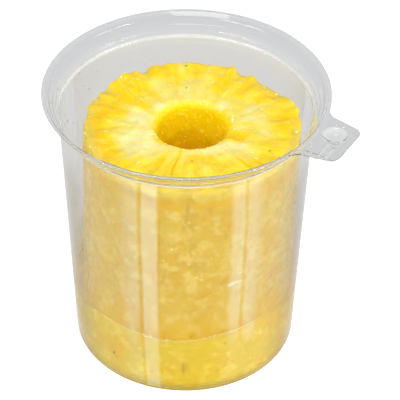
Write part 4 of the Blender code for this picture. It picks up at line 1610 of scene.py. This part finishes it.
# %% The bead along the waterline
FILM_RADIUS = 0.22 * MM
FILM_INSET = 0.1 * MM
FILM_RISE = 0.7 * CLIMB
FILM_POINTS = 720


def bead_tree():
    tree, given, output = group_tree("bead_on_a_line", (("Thickness", "Float"), ("Material", "Material")))
    curve = output_of(tree, "GeometryNodeMeshToCurve", {0: given["Geometry"]})
    here = output_of(tree, "GeometryNodeInputPosition")
    uneven = ramp(tree, noise_of(tree, here, 300.0), 0.3, 0.65, 0.3, 1.0)
    thick = output_of(tree, "GeometryNodeSetCurveRadius", {"Curve": curve, "Radius": uneven})
    sockets = {"Resolution": 6, "Radius": given["Thickness"]}
    section = output_of(tree, "GeometryNodeCurvePrimitiveCircle", sockets)
    bead = output_of(tree, "GeometryNodeCurveToMesh", {"Curve": thick, "Profile Curve": section})
    return end_tree(tree, given, output, bead)


angles = np.arange(FILM_POINTS) * 2 * math.pi / FILM_POINTS
level = waterline(angles) + FILM_RISE
radius = np.interp(level, inner_heights, inner_radii) - FILM_INSET
film_mesh = bpy.data.meshes.new("film_edge")
film_links = [(i, (i + 1) % FILM_POINTS) for i in range(FILM_POINTS)]
film_mesh.from_pydata(around_axis(angles, radius, level).tolist(), film_links, [])
film_edge = add_object("film_edge", film_mesh)
film_and_highlight_look = simple_look("film_edge", (1.0, 0.96, 0.74), 0.2, {"Alpha": 0.6})
grow(film_edge, bead_tree(), {"Thickness": FILM_RADIUS, "Material": film_and_highlight_look})
print("film edge triangles:", faces_of(film_edge))

# %% [markdown]
# ## Marks with a place of their own
# Some small things sit where they sit: the pips moulded along the tab's sides, the brown flecks that the
# peeler left in the flesh, pale crumbs on the side that stand for its lights as painted highlights, and
# smears, painted glints and scratches on the wall. Each is a point with its own size and turn, and one tree
# puts a rounded bit on every point.

# %% A tree that places marks


def mark_tree():
    tree, given, output = group_tree("placed_marks", (("Fineness", "Int"), ("Material", "Material")))
    turn = output_of(tree, "FunctionNodeEulerToRotation", {0: named(tree, "turn", "FLOAT_VECTOR")})
    bit = output_of(tree, "GeometryNodeMeshIcoSphere", {"Radius": 1 * MM, "Subdivisions": given["Fineness"]})
    sockets = {"Points": given["Geometry"], "Instance": bit, "Rotation": turn}
    sockets["Scale"] = named(tree, "size", "FLOAT_VECTOR")
    return end_tree(tree, given, output, output_of(tree, "GeometryNodeInstanceOnPoints", sockets))


placing = mark_tree()
print("tree that places:", placing.name)

# %% Placing marks


def place_marks(name, marks, look):
    """A piece of rounded bits. Each mark is a place in metres, half sizes in mm, and a turn."""
    mesh = bpy.data.meshes.new(name)
    mesh.from_pydata([mark[0] for mark in marks], [], [])
    for title, column in (("size", 1), ("turn", 2)):
        layer = mesh.attributes.new(title, "FLOAT_VECTOR", "POINT")
        layer.data.foreach_set("vector", np.array([mark[column] for mark in marks], np.float32).reshape(-1))
    piece = add_object(name, mesh)
    grow(piece, placing, {"Fineness": 3, "Material": look})
    print(name, "triangles:", faces_of(piece))
    return piece


print("ready to place")

# %% Pips on the tab
PIPS = (
    (68.0, -11.4), (71.9, -11.4), (75.8, -10.2), (68.4, 11.5), (72.2, 11.6), (76.0, 11.2), (66.6, 7.7),
)
PIP_SIZE = (0.55, 0.55, 0.38)


def on_tab(along, across):
    """A point of the tab's top, given along and across its axis in mm."""
    out = Vector((math.cos(TAB_ANGLE), math.sin(TAB_ANGLE)))
    flat = (out * along + Vector((out.y, -out.x)) * across) * MM
    height = tab_relief(np.array([along * MM]), np.array([across * MM]), 0.0)[0]
    return (flat.x, flat.y, TUB_HEIGHT - TAB_TOP_DROP + height)


milky = {"Transmission Weight": 0.3, "IOR": PLASTIC_IOR}
frosted = simple_look("frosted_plastic", (0.97, 0.97, 0.97), 0.25, milky)
pips = place_marks("tab_pips", [(on_tab(*pip), PIP_SIZE, (0, 0, 0)) for pip in PIPS], frosted)

# %% Places of flecks, crumbs, smears, painted glints and scratches
# Degrees, radius or height in mm, half length and half width in mm, and tilt in degrees
TOP_FLECKS = (
    (93.8, 44.2, 0.75, 0.4, 40), (95.5, 27.8, 0.5, 0.3, 60), (331.2, 38.9, 0.5, 0.4, 0),
    (270.1, 26.8, 0.4, 0.3, 0),
)
SIDE_FLECKS = (
    (287, 12, 0.6, 0.3, 50), (290.5, 28, 0.5, 0.35, 0), (229, 14.2, 1.1, 0.5, 70),
    (230.5, 12.5, 0.5, 0.3, 20), (252, 11, 0.5, 0.35, 0), (243.5, 56, 0.3, 0.25, 0),
    (242.6, 61, 0.35, 0.3, 0), (243.3, 66, 0.3, 0.2, 0), (243, 72, 0.3, 0.25, 0),
    (269, 12.5, 0.5, 0.25, 70),
)
# Pale crumbs and threads on the side, which stand for the lights on the torn flap and along the crease:
# painted highlights, partly real pulp
SIDE_CRUMBS_AND_HIGHLIGHTS = (
    (260.7, 84, 0.5, 0.3, 30), (269.9, 75.5, 0.4, 0.3, 0), (256.4, 77, 0.35, 0.25, 0),
    (274.2, 67.5, 0.5, 0.14, 20), (276.9, 66.5, 0.35, 0.14, -20), (269.4, 98.5, 0.8, 0.12, -30),
    (266.8, 97.0, 0.6, 0.14, 40), (264.0, 101.5, 0.5, 0.14, 60), (281.5, 79, 0.25, 0.2, 0),
    (247, 52, 0.5, 0.12, 20),
)
# Dried smears on the wall; the small pale ones at 205 and 306 degrees stand for glints: painted highlights
WALL_SMEARS_AND_GLINTS = (
    (294.6, 65.4, 3.6, 1.2, 8), (292.4, 65.0, 1.8, 1.3, 4), (297, 70.5, 1.3, 0.25, 10),
    (205, 74, 0.9, 0.45, 80), (306, 68, 0.7, 0.3, 60), (272, 88, 0.5, 0.2, 20),
)
WALL_SCRATCHES = ((208, 47, 1.2, 0.14, 70), (210.5, 44.5, 1.4, 0.16, 60), (212.5, 43, 1.0, 0.14, 75))

marks = (TOP_FLECKS, SIDE_FLECKS, SIDE_CRUMBS_AND_HIGHLIGHTS, WALL_SMEARS_AND_GLINTS, WALL_SCRATCHES)
print("marks to place:", sum(map(len, marks)))

# %% Flecks, crumbs, smears, painted glints and scratches
# Half of how thick a mark is, on the fruit and on the wall, in mm
FRUIT_THICK = 0.25
WALL_THICK = 0.28
WALL_MARK_INSET = 0.05 * MM


def upright(degrees, tilt):
    """The turn that lays a mark's long side round the axis, lifted by a tilt."""
    return (0, -math.radians(tilt), math.radians(degrees + 90))


def top_mark(degrees, radius, length, width, tilt):
    angle, radius = np.array([math.radians(degrees)]), radius * MM
    rise = relief(angle, radius, FRUIT_TOP) - edge_bite(angle, radius, FRUIT_TOP)
    rise = rise + edge_rise(angle, radius, FRUIT_TOP)
    spot = around_axis(angle, radius, FRUIT_TOP + rise, TOP_X)[0]
    return spot, (length, width, FRUIT_THICK), (0, 0, math.radians(tilt))


def side_mark(degrees, z, length, width, tilt):
    angle, z = np.array([math.radians(degrees)]), z * MM
    radius = side_radius(z) + relief(angle, side_radius(z), z)
    spot = around_axis(angle, radius, z, lean(z))[0]
    return spot, (length, FRUIT_THICK, width), upright(degrees, tilt)


def wall_mark(degrees, z, length, width, tilt):
    radius = np.interp(z * MM, inner_heights, inner_radii) - WALL_MARK_INSET
    spot = around_axis(math.radians(degrees), radius, z * MM)
    return spot, (length, WALL_THICK, width), upright(degrees, tilt)


brown = simple_look("brown_fleck", (0.42, 0.22, 0.02), 0.5, {"Alpha": 0.8})
smear_and_glint_look = simple_look("dried_smear_and_glint", (0.98, 0.90, 0.62), 0.5, {"Alpha": 0.22})
scratch_look = simple_look("scratch", (0.45, 0.44, 0.40), 0.5, {"Alpha": 0.7})
fleck_marks = [top_mark(*fleck) for fleck in TOP_FLECKS] + [side_mark(*fleck) for fleck in SIDE_FLECKS]
flecks = place_marks("brown_flecks", fleck_marks, brown)
side_crumbs_and_highlights = place_marks("side_crumbs_and_painted_highlights", [side_mark(*bit) for bit in SIDE_CRUMBS_AND_HIGHLIGHTS], pale_pulp)
smears_and_glints = place_marks("wall_smears_and_glints", [wall_mark(*smear) for smear in WALL_SMEARS_AND_GLINTS], smear_and_glint_look)
scratches = place_marks("wall_scratches", [wall_mark(*mark) for mark in WALL_SCRATCHES], scratch_look)

# %% [markdown]
# ## Handing the pieces over
# Each piece rides on the one body of the imported model, and the solid that it stands for is hidden.

# %% Hand over
# Each solid with its slot and the pieces that stand for it
HANDED_OVER = (
    ("tub", "clear_plastic", (tub_shell, pips, scratches)),
    ("pineapple", "pineapple_flesh", (fruit, *pulp, flecks, side_crumbs_and_highlights)),
    ("juice", "pineapple_juice", (juice, *wall_bits, film_edge, smears_and_glints)),
)
for node, slot, pieces in HANDED_OVER:
    for piece in pieces:
        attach(piece, "root")
        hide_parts(node)
